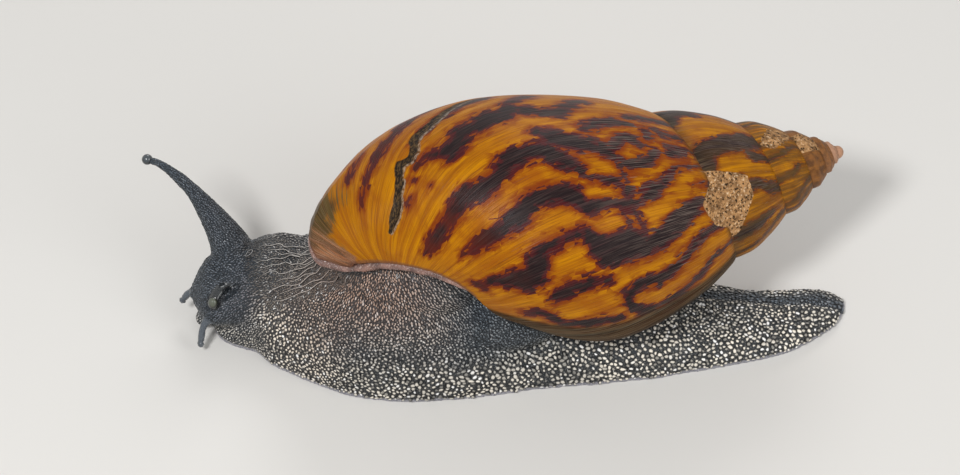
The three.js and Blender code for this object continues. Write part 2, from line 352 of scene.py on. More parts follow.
shellSize = {
    "apex": np.array([110.4, 30.7, 47.5]),
    "axis": np.array([0.9485, 0.3085, 0.0719]),
    "startAzimuth": 46,      # degrees round the axis from its top, at age 0
    "whorls": 6.6,
    # distance from the apex and radius, suture to base, now and half a turn before
    "now": [[54.7, 28.2], [70, 36.8], [93.1, 44.2], [111.6, 46.6], [131.1, 44.2],
            [147.6, 36.8], [160, 27], [164.4, 16], [157.5, 7]],
    "before": [[40.7, 22.3], [52.2, 28.9], [68.5, 34.2], [84.4, 35], [98, 29.8],
               [109.3, 19.6], [117.6, 10.4], [124, 4.8], [128, 2.2]],
    # turns that each place across lies on from its age, and the share of its growth that is lost late on
    "lipLag": [0.20, 0.21, 0.215, 0.21, 0.20, 0.185, 0.165, 0.13, 0.09],
    "lateLoss": [0, 0, 0.1, 0.3, 0.5, 0.75, 0.9, 0.95, 1],
    "wall": 1.1,             # thickness at the lip
    "innerReach": 0.16,      # share of the profile that the inner wall runs back
    "lipCurl": 0.5,          # how far the outer lip rolls in
    "suturalDip": 1.5,       # how far the suture's edge dips under the whorl before
    "softening": 40,         # rounds of averaging at the base
    "columns": 500,
    "rows": 150,
    "spireColumns": 1500,
    "spireRows": 44,
    "spireCover": 0.36,      # how far across a whorl the next one leaves it bare
    "sutureAcross": 0.29,    # where the next one's suture lies on it
    "flush": 0.9,            # share of the step between whorls that swelling takes up
    "apexBead": {"below": 1.9, "radii": [1.9, 2.0, 2.0]},
    "mmPerTurn": 240,        # lengths on the last whorl, for patterns
    "mmAcross": 137,
}

# the free edge: age at the suture, then age and place across of the edge, a closed lip from the suture
# round the front to the inner lip, and on below the body
lipLoop = [
    [0, 0, 0], [-0.035, 0, 0.10], [-0.07, 0, 0.21], [-0.10, 0, 0.32], [-0.13, -0.002, 0.43],
    [-0.16, -0.005, 0.54], [-0.19, -0.027, 0.65], [-0.22, -0.067, 0.76], [-0.25, -0.109, 0.86],
    [-0.28, -0.15, 0.955], [-0.31, -0.215, 0.91], [-0.35, -0.285, 0.845], [-0.40, -0.36, 0.77],
    [-0.45, -0.43, 0.695], [-0.50, -0.495, 0.655], [-0.56, -0.56, 0.635], [-0.63, -0.63, 0.62],
    [-0.71, -0.71, 0.63], [-0.80, -0.80, 0.66], [-0.90, -0.90, 0.70], [-1, -1, 0.74],
]

shellAxis = unit(shellSize["axis"])
shellTop = unit(np.array([0, 0, 1.0]) - shellAxis * shellAxis[2])
shellRight = np.cross(shellTop, shellAxis)


# a place on the shell: the profile's distance and radius, times their growth in half a turn to the power
# of twice the turns, turned about the axis
def shellPoint(age, across):
    turns = age + throughNumbers(shellSize["lipLag"], across)
    loss = throughNumbers(shellSize["lateLoss"], across)
    growth = np.where(turns > 0, turns * (1 - loss), turns)
    now = throughRows(shellSize["now"], across)
    before = throughRows(shellSize["before"], across)
    section = now * (now / before) ** (2 * growth[..., None])
    azimuth = math.radians(shellSize["startAzimuth"]) + fullTurn * turns
    radial = np.cos(azimuth)[..., None] * shellTop + np.sin(azimuth)[..., None] * shellRight
    return shellSize["apex"] - shellAxis * section[..., :1] + radial * section[..., 1:]


# the part of each point's place that is square to the shell's axis: the rest is its share along the axis
def fromAxis(points):
    relative = points - shellSize["apex"]
    return relative - (relative @ shellAxis)[..., None] * shellAxis


# the age of the growth line through a place: a line trails by a square of the way towards the base, and
# by the inverse of what is left of it
def growthLine(age, across):
    trail = 0.62 * np.maximum(across - 0.42, 0) ** 2 + 0.004 / np.maximum(0.88 - across, 0.03) - 0.0045
    return age + trail * (0.35 + 0.65 * smoothStep(-0.45, -0.22, age))


# flames: [age, across, half width in thousandths of a turn] along each middle line
flames = [
    [[-0.557, 0.06, 4], [-0.568, 0.10, 6], [-0.585, 0.135, 7], [-0.598, 0.18, 8], [-0.601, 0.24, 8],
     [-0.595, 0.285, 10], [-0.575, 0.303, 8], [-0.55, 0.303, 8]],
    [[-0.592, 0.33, 8], [-0.583, 0.38, 12], [-0.579, 0.43, 11], [-0.575, 0.47, 7], [-0.556, 0.485, 9],
     [-0.544, 0.51, 11], [-0.543, 0.545, 7]],
    [[-0.507, 0.07, 9], [-0.515, 0.10, 10], [-0.528, 0.135, 10], [-0.54, 0.17, 9], [-0.551, 0.205, 9],
     [-0.549, 0.235, 10], [-0.545, 0.265, 11], [-0.553, 0.295, 9]],
    [[-0.562, 0.225, 5], [-0.552, 0.23, 8]],
    [[-0.523, 0.325, 7], [-0.517, 0.36, 12], [-0.515, 0.40, 12], [-0.517, 0.44, 12], [-0.523, 0.46, 8]],
    [[-0.458, 0.08, 9], [-0.466, 0.10, 14], [-0.478, 0.135, 16], [-0.487, 0.165, 16], [-0.498, 0.195, 15],
     [-0.50, 0.22, 16], [-0.49, 0.245, 22], [-0.49, 0.27, 22], [-0.489, 0.30, 21], [-0.478, 0.315, 18],
     [-0.456, 0.325, 9], [-0.455, 0.38, 9], [-0.457, 0.43, 11], [-0.468, 0.455, 16], [-0.485, 0.475, 18],
     [-0.485, 0.50, 21], [-0.478, 0.535, 15], [-0.473, 0.565, 11], [-0.471, 0.585, 9]],
    [[-0.495, 0.215, 5], [-0.475, 0.212, 5], [-0.45, 0.216, 5], [-0.438, 0.208, 6], [-0.42, 0.203, 4],
     [-0.395, 0.198, 5], [-0.37, 0.193, 5]],
    [[-0.48, 0.245, 10], [-0.463, 0.232, 4], [-0.448, 0.24, 3]],
    [[-0.485, 0.603, 7], [-0.474, 0.61, 9], [-0.464, 0.628, 5]],
    [[-0.43, 0.065, 5], [-0.424, 0.062, 4]],
    [[-0.392, 0.07, 3], [-0.40, 0.092, 6], [-0.412, 0.115, 8], [-0.42, 0.135, 9], [-0.43, 0.165, 11],
     [-0.442, 0.195, 8], [-0.441, 0.225, 8], [-0.437, 0.25, 7], [-0.433, 0.275, 11], [-0.431, 0.30, 13],
     [-0.415, 0.315, 16], [-0.407, 0.335, 13], [-0.404, 0.37, 12], [-0.403, 0.40, 13], [-0.412, 0.435, 14],
     [-0.414, 0.47, 13], [-0.414, 0.50, 12], [-0.416, 0.535, 12], [-0.418, 0.565, 9], [-0.418, 0.60, 5]],
    [[-0.437, 0.207, 5], [-0.42, 0.212, 7], [-0.408, 0.225, 8], [-0.403, 0.245, 8], [-0.40, 0.262, 6]],
    [[-0.375, 0.085, 7], [-0.362, 0.078, 8]],
    [[-0.372, 0.117, 8], [-0.383, 0.133, 8], [-0.39, 0.16, 9], [-0.393, 0.18, 8], [-0.378, 0.195, 7],
     [-0.367, 0.208, 12], [-0.356, 0.23, 15], [-0.349, 0.255, 15], [-0.34, 0.28, 15], [-0.328, 0.302, 10]],
    [[-0.362, 0.138, 8], [-0.35, 0.15, 9], [-0.347, 0.163, 8], [-0.358, 0.178, 8], [-0.368, 0.195, 9]],
    [[-0.39, 0.27, 8], [-0.383, 0.282, 11], [-0.368, 0.30, 14], [-0.353, 0.315, 17], [-0.35, 0.34, 14],
     [-0.349, 0.37, 15], [-0.351, 0.40, 15], [-0.36, 0.43, 12], [-0.363, 0.455, 13], [-0.366, 0.48, 14],
     [-0.358, 0.505, 15], [-0.362, 0.535, 15], [-0.369, 0.57, 12], [-0.372, 0.60, 12], [-0.377, 0.635, 14],
     [-0.381, 0.665, 9]],
    [[-0.333, 0.075, 8], [-0.325, 0.085, 8]],
    [[-0.349, 0.118, 7], [-0.335, 0.105, 9]],
    [[-0.322, 0.138, 8], [-0.314, 0.158, 10], [-0.32, 0.18, 10], [-0.327, 0.205, 10], [-0.33, 0.215, 7]],
    [[-0.29, 0.06, 8], [-0.298, 0.10, 9], [-0.305, 0.125, 7]],
    [[-0.262, 0.175, 8], [-0.277, 0.20, 9], [-0.291, 0.222, 9], [-0.30, 0.236, 11], [-0.295, 0.262, 12],
     [-0.285, 0.285, 13]],
    [[-0.24, 0.24, 9], [-0.253, 0.275, 9], [-0.262, 0.305, 8], [-0.278, 0.312, 14], [-0.287, 0.335, 15],
     [-0.28, 0.365, 15], [-0.289, 0.40, 13], [-0.285, 0.43, 15], [-0.297, 0.455, 15], [-0.30, 0.48, 15],
     [-0.292, 0.50, 9], [-0.284, 0.52, 8], [-0.285, 0.55, 6]],
    [[-0.295, 0.572, 4], [-0.293, 0.575, 4]],
    [[-0.311, 0.605, 3], [-0.309, 0.625, 5]],
    [[-0.32, 0.555, 2], [-0.316, 0.556, 2]],
    [[-0.225, 0.32, 8], [-0.232, 0.37, 8], [-0.24, 0.42, 8], [-0.247, 0.47, 7], [-0.252, 0.505, 6]],
    [[-0.197, 0.40, 6], [-0.204, 0.46, 8], [-0.21, 0.50, 8], [-0.215, 0.535, 8], [-0.22, 0.565, 9],
     [-0.226, 0.60, 8], [-0.233, 0.633, 7], [-0.242, 0.667, 6], [-0.252, 0.695, 3]],
    [[-0.19, 0.58, 3], [-0.198, 0.63, 5], [-0.203, 0.66, 4]],
    # on the whorl before the last
    [[-1.30, 0.02, 12], [-1.335, 0.06, 20], [-1.357, 0.11, 25], [-1.36, 0.15, 24], [-1.368, 0.20, 21],
     [-1.376, 0.245, 22], [-1.388, 0.272, 22], [-1.42, 0.28, 13], [-1.445, 0.268, 9], [-1.455, 0.24, 8],
     [-1.452, 0.205, 7], [-1.442, 0.178, 6]],
    [[-1.52, 0.02, 8], [-1.505, 0.055, 9], [-1.478, 0.085, 14], [-1.466, 0.11, 14], [-1.466, 0.145, 13],
     [-1.472, 0.165, 14]],
    [[-1.553, 0.10, 12], [-1.556, 0.13, 12], [-1.563, 0.17, 18], [-1.565, 0.22, 20], [-1.57, 0.265, 18]],
    [[-1.40, 0.055, 12], [-1.395, 0.085, 14], [-1.385, 0.10, 10]],
    [[-1.27, 0.20, 12], [-1.25, 0.24, 26], [-1.255, 0.28, 26], [-1.30, 0.295, 10]],
    [[-1.245, 0.05, 16], [-1.235, 0.12, 18], [-1.24, 0.17, 16]],
]

flameTrim = 0.25             # mm taken off every flame's edge

farOutside = -12.0           # mm: no mark is worked out further off than this

# flames on the sides that no list above covers: [oldest age, youngest age, flames a turn, far end across]
flameRuns = [[-0.20, -0.02, 20, 0.62], [-1.03, -0.625, 15, 0.66], [-1.215, -1.03, 15, 0.36],
             [-2.6, -1.62, 14, 0.36], [-3.6, -2.6, 12, 0.36], [-6.2, -3.6, 10, 0.36]]


# zigzag flames: each curves forward towards the suture by the square of the way, side-steps at three
# shared heights, and leans against the growth lines; its width wavers
def runOfFlames(oldest, youngest, perTurn, farEnd, random):
    count = max(int(round((youngest - oldest) * perTurn)), 1)
    across = np.linspace(0.03, farEnd, 12)
    made = []
    for k in range(count):
        age = oldest + (k + random.uniform(0.25, 0.75)) / perTurn
        steps = random.uniform(-0.016, 0.016, 3)
        line = age + 0.9 * np.maximum(0.3 - across, 0) ** 2 + steps[0] * (across > 0.2)
        line = line + steps[1] * (across > 0.3) + steps[2] * (across > 0.46)
        line = line + random.uniform(-0.003, 0.003, 12)
        line = line - (growthLine(line, across) - line)
        half = random.uniform(7, 13) * (1 + random.uniform(-0.25, 0.25, 12))
        if youngest > -0.3:  # the newest flames are narrow
            half = half * 0.5
        first, last = random.integers(0, 3), 12 - random.integers(0, 3)
        made.append(np.stack([line, across, half], -1)[first:last].tolist())
    return made


# how far inside the nearest of the strokes a place lies, in mm on the last whorl and negative outside:
# a stroke's half width less the distance to its line, the most of all its straight legs
def insideStrokes(age, across, strokes):
    wide, tall = shellSize["mmPerTurn"], shellSize["mmAcross"]
    x, y = age.ravel() * wide, across.ravel() * tall
    best = np.full(x.shape, farOutside)
    for stroke in strokes:
        line = np.array(stroke, float) * [wide, tall, wide / 1000]
        near = np.flatnonzero((x > line[:, 0].min() + farOutside) & (x < line[:, 0].max() - farOutside))
        for (ax, ay, ahalf), (bx, by, bhalf) in zip(line[:-1], line[1:]):
            px, py = x[near] - ax, y[near] - ay
            dx, dy = bx - ax, by - ay
            t = np.clip((px * dx + py * dy) / (dx * dx + dy * dy + 1e-9), 0, 1)
            inside = ahalf + (bhalf - ahalf) * t - np.hypot(px - t * dx, py - t * dy)
            best[near] = np.maximum(best[near], inside)
    return best.reshape(age.shape)


# the crack where growth once stopped, and patches where the outer coat has worn off
crack = [[-0.19, 0.22, 3], [-0.205, 0.30, 4], [-0.222, 0.38, 4], [-0.235, 0.42, 5], [-0.243, 0.455, 5],
         [-0.247, 0.49, 5], [-0.252, 0.51, 6], [-0.264, 0.527, 7], [-0.27, 0.545, 5], [-0.263, 0.565, 5],
         [-0.268, 0.58, 6], [-0.281, 0.597, 7], [-0.295, 0.63, 7], [-0.307, 0.665, 6], [-0.315, 0.70, 2]]
wornPatches = [
    [[-2.36, 0.24, 26], [-2.33, 0.16, 34], [-2.30, 0.08, 28]],
    [[-3.33, 0.05, 60], [-3.36, 0.3, 60]],
    [[-3.9, 0.1, 70], [-4.1, 0.25, 60]],
]
# the largest patch crosses the suture: its corners on either side, in age and across
wornOutlines = [
    [[-1.40, 0.38], [-1.443, 0.155], [-1.487, 0.163], [-1.565, 0.28], [-1.57, 0.38]],
    [[-0.405, -0.03], [-0.461, 0.068], [-0.505, 0.055], [-0.54, -0.03]],
]


# how far inside a convex outline a place lies, in mm on the last whorl: the least of its distances to the
# sides, each measured along the side's own square
def insideOutline(age, across, corners):
    size = np.array([shellSize["mmPerTurn"], shellSize["mmAcross"]])
    corners = np.array(corners) * size
    place = np.stack([age, across], -1) * size
    depth = np.full(age.shape, 99.0)
    middle = corners.mean(0)
    for a, b in zip(corners, np.roll(corners, -1, 0)):
        square = unit(np.array([a[1] - b[1], b[0] - a[0]]))
        square = square * np.sign((middle - a) @ square)
        depth = np.minimum(depth, (place - a) @ square)
    return depth


# the age below which the low side is grey-brown, from the suture to 0.7 across: partly a film of dirt, partly
# painted sheen
filmAndSheenStart = [-0.606, -0.606, -0.604, -0.600, -0.592, -0.573, -0.545, -0.52]


# what the shell's finish reads at each place: depths inside the marks, in mm, with edges that noise makes
# uneven, and shares from 0 to 1 of the grey-brown film with painted sheen and of the zone beside the lip
def shellFields(age, across):
    nearSuture = 0.08
    drawn = np.where(across < nearSuture, nearSuture - (nearSuture - across) * 0.2, across)
    random = np.random.default_rng(11)
    strokes = list(flames)
    for run in flameRuns:
        strokes += runOfFlames(*run, random)
    place = np.stack([age * shellSize["mmPerTurn"], across * shellSize["mmAcross"]], -1)
    wobble = smoothNoise(place, 3.0, 3) * 1.2 + smoothNoise(place, 1.3, 5) * 0.6
    worn = np.maximum(*[insideOutline(age, across, corners) for corners in wornOutlines])
    past = growthLine(age, across) + 0.1 - (across - 0.74) * 0.9 + wobble * 0.003
    lipZone = smoothStep(-0.041, 0.003, past + wobble * 0.006) * smoothStep(0.61, 0.76, across)
    filmAndSheenEdge = throughNumbers(filmAndSheenStart, across / 0.7) + wobble * 0.0015
    filmAndSheen = smoothStep(0.008, -0.008, age - filmAndSheenEdge) * smoothStep(-0.86, -0.75, age)
    filmAndSheen = filmAndSheen + smoothStep(0.035, 0.0, across) * 0.7 * (age > -1)
    filmAndSheen = np.clip(filmAndSheen + smoothStep(0.255, 0.30, across) * 0.6 * (age < -1.2) * (age > -1.7), 0, 1)
    return {
        "flameDepth": insideStrokes(age, drawn, strokes) - flameTrim,
        "crack": insideStrokes(age, across, [crack]) + wobble * 0.45,
        "crackRim": insideStrokes(age + 0.0042, across, [crack]) + wobble * 0.45,
        "worn": np.maximum(insideStrokes(age, across, wornPatches) + wobble, worn + wobble * 0.35),
        "filmAndSheen": filmAndSheen,
        "lipZone": lipZone,
    }


relief = {                   # heights in mm on the last whorl
    "fineRidges": 0.07,
    "ridges": 0.12,
    "swell": 0.18,
    "crack": 0.35,
    "worn": 0.22,
    "pits": 0.1,
    "callus": 1.5,           # the bulge by the inner lip
    "shoulder": 0.35,        # how far a whorl rounds in to meet the one before it at the suture
    "inset": 0.6,            # kept inside the box of the plain solid
    "growth": 1.62,          # how much larger each whorl is than the one before
}


# how large a whorl's relief is beside the last one's: the growth to the power of the age and half a turn
def reliefScale(age):
    return relief["growth"] ** (age + 0.5)


# height in mm over the plain surface: growth ridges and slow swells of noise, the crack's and the worn
# patches' steps with pits in them, less the shoulder at the suture, all smaller on the older whorls
def shellRelief(age, across, fields):
    line = growthLine(age, across) * shellSize["mmPerTurn"]
    along = across * shellSize["mmAcross"]
    ridges = smoothNoise(np.stack([line, along / 25], -1), 1.9, 2) * relief["fineRidges"]
    ridges += smoothNoise(np.stack([line, along / 40], -1), 5.5, 8) * relief["ridges"]
    swell = smoothNoise(np.stack([line, along], -1), 16, 4) * relief["swell"]
    crackDepth = -relief["crack"] * smoothStep(-0.5, 0.7, fields["crack"])
    wornDepth = -relief["worn"] * smoothStep(-0.3, 0.4, fields["worn"])
    pits = smoothNoise(np.stack([line, along], -1), 1.5, 6) * relief["pits"]
    pits = pits * smoothStep(-0.1, 0.5, fields["worn"])
    swell += relief["callus"] * np.exp(-((age + 0.56) / 0.07) ** 2) * smoothStep(0.5, 0.63, across)
    height = (ridges + swell + crackDepth + wornDepth + pits) * smoothStep(0.0, 0.03, across)
    shoulder = relief["shoulder"] * smoothStep(0.035, 0.0, across) ** 2 + relief["inset"]
    return (height - shoulder) * np.minimum(1.0, reliefScale(age))


# ages and places across on the last whorl: each column runs from the suture to the free edge, its rows
# closer near the suture
def shellGrid(columns, rows):
    t = np.linspace(0, 1, columns)[:, None]
    w = np.linspace(0, 1, rows)[None, :]
    atSuture, atEdge, edgeAcross = np.moveaxis(throughRows(lipLoop, t + 0 * w), -1, 0)
    age = atSuture + (atEdge - atSuture) * w ** 1.4
    return age, edgeAcross * w


# the base turns in sharply at the far end of the profile, so each point there moves half way to the
# average of its four neighbours, round after round
def softCorner(points, across):
    hold = 0.5 * smoothStep(0.76, 0.86, across)[1:-1, 1:-1, None]
    for _ in range(shellSize["softening"]):
        near = (points[:-2, 1:-1] + points[2:, 1:-1] + points[1:-1, :-2] + points[1:-1, 2:]) / 4
        points[1:-1, 1:-1] += (near - points[1:-1, 1:-1]) * hold
    return points


# the last whorl: its outer face from the suture to the free edge, then half a circle round the edge and
# the inner wall some way back
def makeBodyWhorl():
    columns, rows = shellSize["columns"], shellSize["rows"]
    age, across = shellGrid(columns, rows)
    plain = softCorner(shellPoint(age, across), across)
    normal = gridNormals(plain, fromAxis(plain))
    fields = shellFields(age, across)
    w = np.linspace(0, 1, rows)[None, :]
    t = np.linspace(0, 1, columns)[:, None]
    curl = shellSize["lipCurl"] * smoothStep(0.84, 1.0, w) ** 2
    curl = curl * smoothStep(0.36, 0.5, t) * smoothStep(0.82, 0.7, t)
    outer = plain + normal * (shellRelief(age, across, fields) - curl)[..., None]
    outward = unit(outer[:, -1] - outer[:, -3])[:, None]
    wall = shellSize["wall"]
    edgeNormal = normal[:, -1:]
    bend = np.linspace(0, math.pi, 7)[1:-1][None, :, None]
    middle = outer[:, -1:] - edgeNormal * wall / 2
    edge = middle + edgeNormal * wall / 2 * np.cos(bend) + outward * wall / 2 * np.sin(bend)
    reach = int(rows * shellSize["innerReach"])
    inner = outer[:, -1:-reach:-2] - normal[:, -1:-reach:-2] * wall
    dip = outer[:, :1] - normal[:, :1] * shellSize["suturalDip"]
    points = np.concatenate([dip, outer, edge, inner], 1)
    extra = points.shape[1] - rows - 1

    # values for the rows that the outer face doesn't have: copies of its first and last ones
    def widen(values):
        return np.concatenate([values[:, :1], values, np.repeat(values[:, -1:], extra, 1)], 1)

    # distance from the free edge, for the finish there
    steps = np.linalg.norm(np.diff(outer, axis=1), axis=-1)
    fromEdge = np.concatenate([np.cumsum(steps[:, ::-1], 1)[:, ::-1], steps[:, :1] * 0], 1)
    fromEdge = fromEdge + 30 * smoothStep(0.7, 0.78, t)
    wide = {key: widen(values) for key, values in fields.items()}
    wide["fromEdge"] = widen(fromEdge)
    wide["fromEdge"][:, rows + 1:] = 0
    growth = np.stack([growthLine(widen(age), widen(across)), widen(across)], -1)
    maps = {"OFBake": sheetMap(points), "growth": growth}
    mesh = makeMesh("shell_body_whorl", points, outwardFaces(points), wide, maps)
    return mesh, {"outer": outer, "normal": normal, "outward": outward[:, 0]}


# how far from the axis the profile lies at an age and a place across
def fromAxisLength(age, across):
    return np.linalg.norm(fromAxis(shellPoint(age, across)), axis=-1)


# the older whorls, bare from one suture to the next, swollen out to meet the whorl that follows
def makeSpire():
    columns, rows = shellSize["spireColumns"], shellSize["spireRows"]
    # closer columns on the larger whorls
    age = -1 - (shellSize["whorls"] - 1) * np.linspace(0, 1, columns)[:, None] ** 1.25
    w = np.linspace(0, 1, rows)[None, :]
    age, across = np.broadcast_arrays(age + 0 * w, w * shellSize["spireCover"])
    fields = shellFields(age, across)
    plain = shellPoint(age, across)
    # each whorl swells towards its lower suture until it is flush with the next one
    short = fromAxisLength(age + 1, 0 * across) - fromAxisLength(age, 0 * across + shellSize["sutureAcross"])
    swelling = np.minimum(across / shellSize["sutureAcross"], 1) * smoothStep(-1.0, -1.3, age)
    swelling = swelling * smoothStep(-6.5, -5.4, age)
    plain = plain + unit(fromAxis(plain)) * (shellSize["flush"] * short * swelling)[..., None]
    normal = gridNormals(plain, fromAxis(plain))
    points = plain + normal * shellRelief(age, across, fields)[..., None]
    dip = points[:, :1] - normal[:, :1] * (shellSize["suturalDip"] * reliefScale(age)[:, :1, None])
    points = np.concatenate([dip, points], 1)

    # the dipped row takes the suture's own values
    def widen(values):
        return np.concatenate([values[:, :1], values], 1)

    wide = {key: widen(values) for key, values in fields.items()}
    wide["fromEdge"] = widen(age) * 0 + 30
    growth = np.stack([growthLine(widen(age), widen(across)), widen(across)], -1)
    maps = {"OFBake": sheetMap(points), "growth": growth}
    return makeMesh("shell_spire", points, outwardFaces(points), wide, maps)


# an ellipsoid: sines and cosines of latitude and longitude, times the radii
def beadPoints(centre, radii, around=20, along=12):
    lat = np.linspace(0, math.pi, along)[:, None]
    lon = np.linspace(0, fullTurn, around, endpoint=False)[None, :]
    ball = np.stack([np.sin(lat) * np.cos(lon), np.sin(lat) * np.sin(lon), np.cos(lat) + 0 * lon], -1)
    return np.asarray(centre, float) + ball * np.asarray(radii, float)


# the rounded first whorl, which closes the tip
def makeApex():
    size = shellSize["apexBead"]
    points = beadPoints(shellSize["apex"] - shellAxis * size["below"], size["radii"], 28, 16)
    plain = np.zeros(points.shape[:2])
    fields = {key: plain + farOutside for key in ("flameDepth", "crack", "crackRim", "worn")}
    fields |= {"filmAndSheen": plain, "lipZone": plain, "fromEdge": plain + 30}
    around, along = np.meshgrid(np.linspace(0, 1, points.shape[1]), np.linspace(0, 1, len(points)))
    growth = np.stack([around * 0.1 - shellSize["whorls"], along * 0.1], -1)
    return makeMesh("shell_apex", points, outwardFaces(points, closed=True), fields, {"growth": growth})


# horn in layers, each a colour laid over the ones below where its own mask holds
def makeShellMaterial():
    material, tree, shader = newMaterial("shell_horn")
    growth = put(tree, "UVMap", uv_map="growth").outputs[0]
    split = put(tree, "SeparateXYZ", {0: growth})
    age, across = split.outputs[0], split.outputs[1]
    flame, crackMark = reading(tree, "flameDepth"), reading(tree, "crack")
    worn, filmAndSheen, fromEdge = reading(tree, "worn"), reading(tree, "filmAndSheen"), reading(tree, "fromEdge")

    fine = noiseAt(tree, stretched(tree, growth, (430, 5, 1)), 1.0, 3, 0.6)
    hair = noiseAt(tree, stretched(tree, growth, (900, 14, 1)), 1.0, 2, 0.6)
    bands = noiseAt(tree, stretched(tree, growth, (95, 3, 1)), 1.0, 4, 0.6)
    cloud = noiseAt(tree, stretched(tree, growth, (22, 12, 1)), 1.0, 4, 0.55)
    teeth = put(tree, "TexVoronoi", {"Vector": stretched(tree, growth, (185, 50, 1)), "Scale": 1.0})
    tooth = put(tree, "SeparateColor", {0: teeth.outputs["Color"]}).outputs[0]
    ragged = noiseAt(tree, stretched(tree, growth, (300, 110, 1)), 1.0, 3, 0.6)

    # ground: amber to deep orange, banded along the growth lines
    ground = mixColour(tree, ramp(tree, bands, 0.34, 0.68), rgb("be7c00"), rgb("9c5a04"))
    ground = mixColour(tree, ramp(tree, cloud, 0.45, 0.72, 0.0, 0.7), ground, rgb("934c06"))
    ground = mixColour(tree, ramp(tree, fine, 0.5, 0.72, 0.0, 0.6), ground, rgb("743c04"))
    ground = mixColour(tree, ramp(tree, hair, 0.52, 0.66, 0.0, 0.4), ground, rgb("5e2e04"))

    # flames: stepped edges with a red-brown halo, purple rims and a dark, greyed middle
    edge = plus(tree, flame, plus(tree, swing(tree, tooth, 1.9), swing(tree, ragged, 1.1)))
    halo = ramp(tree, plus(tree, edge, swing(tree, bands, 3.0)), -2.5, 0.0, 0.0, 0.95)
    inside = ramp(tree, edge, -0.12, 0.16)
    deep = ramp(tree, plus(tree, edge, swing(tree, cloud, 3.0)), 0.4, 1.7)
    colour = mixColour(tree, halo, ground, rgb("7a3206"))
    dark = mixColour(tree, deep, rgb("471114"), rgb("1c1012"))
    dark = mixColour(tree, ramp(tree, fine, 0.5, 0.7, 0.0, 0.5), dark, rgb("4a3030"))
    # on the top of the whorl the dark middles turn grey: partly wear, partly painted sheen
    upper = ramp(tree, across, 0.34, 0.1, 0.12, 0.7)
    greyed = times(tree, upper, ramp(tree, hair, 0.46, 0.62))
    dark = mixColour(tree, greyed, dark, rgb("6e6058"))
    colour = mixColour(tree, inside, colour, dark)
    redder = times(tree, ramp(tree, across, 0.46, 0.60), ramp(tree, cloud, 0.35, 0.6, 0.0, 0.7))
    colour = mixColour(tree, times(tree, redder, inside), colour, rgb("5c2012"))

    # the older whorls are duller and browner, pink-brown and pale towards the tip
    old = ramp(tree, age, -1.1, -1.8, 0.0, 0.75)
    colour = mixColour(tree, times(tree, old, ramp(tree, bands, 0.3, 0.6)), colour, rgb("5a4014"))
    older = ramp(tree, age, -2.2, -3.4, 0.0, 0.85)
    tone = mixColour(tree, ramp(tree, cloud, 0.4, 0.65), rgb("8a5a30"), rgb("603e24"))
    colour = mixColour(tree, older, colour, tone)
    colour = mixColour(tree, ramp(tree, age, -4.2, -5.4), colour, rgb("b58a6e"))

    # grey-brown film: weathering by the suture and on the older whorls, partly dirt and partly painted sheen
    # along the low side; and the brown to pink zone beside the free edge
    silt = noiseAt(tree, stretched(tree, growth, (70, 2.5, 1)), 1.0, 4, 0.7)
    filmAndSheenTone = mixColour(tree, ramp(tree, silt, 0.44, 0.56), rgb("0c0704"), rgb("443b2c"))
    filmAndSheenTone = mixColour(tree, ramp(tree, fine, 0.5, 0.62, 0.0, 0.6), filmAndSheenTone, rgb("7a6c56"))
    filmAndSheenHold = times(tree, filmAndSheen, ramp(tree, bands, 0.3, 0.6, 1.0, 0.88))
    colour = mixColour(tree, filmAndSheenHold, colour, filmAndSheenTone)
    lipTone = mixColour(tree, ramp(tree, fine, 0.4, 0.62), rgb("544524"), rgb("2c2416"))
    lipTone = mixColour(tree, ramp(tree, hair, 0.54, 0.64, 0.0, 0.5), lipTone, rgb("837353"))
    pinker = mixColour(tree, ramp(tree, cloud, 0.4, 0.6), rgb("a86a44"), rgb("6a4630"))
    pinker = mixColour(tree, ramp(tree, fine, 0.46, 0.6, 0.0, 0.8), pinker, rgb("432a1e"))
    pinker = mixColour(tree, ramp(tree, hair, 0.52, 0.62, 0.0, 0.7), pinker, rgb("c9a388"))
    strands = plus(tree, times(tree, bands, 0.3), times(tree, fine, 0.1))
    pinkHold = ramp(tree, plus(tree, across, strands), 0.96, 1.08, 0.0, 0.95)
    lipTone = mixColour(tree, pinkHold, lipTone, pinker)
    streak = ramp(tree, plus(tree, fine, times(tree, bands, 0.6)), 0.6, 0.9)
    lipEdge = minus(tree, reading(tree, "lipZone"), times(tree, streak, 0.6))
    lipHold = ramp(tree, lipEdge, 0.0, 0.4, 0.0, 0.95)
    colour = mixColour(tree, lipHold, colour, lipTone)
    colour = mixColour(tree, ramp(tree, fromEdge, 1.6, 0.3, 0.0, 0.7), colour, rgb("6a4636"))

    # worn patches, chalky with dark specks, and silvery scratches along the growth lines
    specks = noiseAt(tree, ownPlace(tree), 1250, 2, 0.6)
    blotch = noiseAt(tree, ownPlace(tree), 420, 3, 0.6)
    chalk = mixColour(tree, ramp(tree, blotch, 0.35, 0.65), rgb("ba8d5e"), rgb("7f5d3c"))
    chalk = mixColour(tree, ramp(tree, specks, 0.55, 0.62, 0.0, 0.95), chalk, rgb("21170f"))
    chalk = mixColour(tree, ramp(tree, specks, 0.40, 0.33, 0.0, 0.7), chalk, rgb("e2c8a6"))
    wornHold = ramp(tree, worn, -0.15, 0.1)
    colour = mixColour(tree, wornHold, colour, chalk)
    scratchZone = times(tree, upper, ramp(tree, bands, 0.52, 0.6))
    scratch = times(tree, ramp(tree, hair, 0.66, 0.72), scratchZone)
    colour = mixColour(tree, scratch, colour, rgb("a8a294"))
    rimHold = ramp(tree, reading(tree, "crackRim"), -0.3, 0.2, 0.0, 0.75)
    rimTone = mixColour(tree, ramp(tree, ragged, 0.4, 0.6), rgb("3a2c1c"), rgb("9a9080"))
    colour = mixColour(tree, rimHold, colour, rimTone)
    crackHold = ramp(tree, crackMark, -0.25, 0.15)
    crackTone = mixColour(tree, ramp(tree, ragged, 0.42, 0.66), rgb("1c130b"), rgb("5a452a"))
    colour = mixColour(tree, crackHold, colour, crackTone)

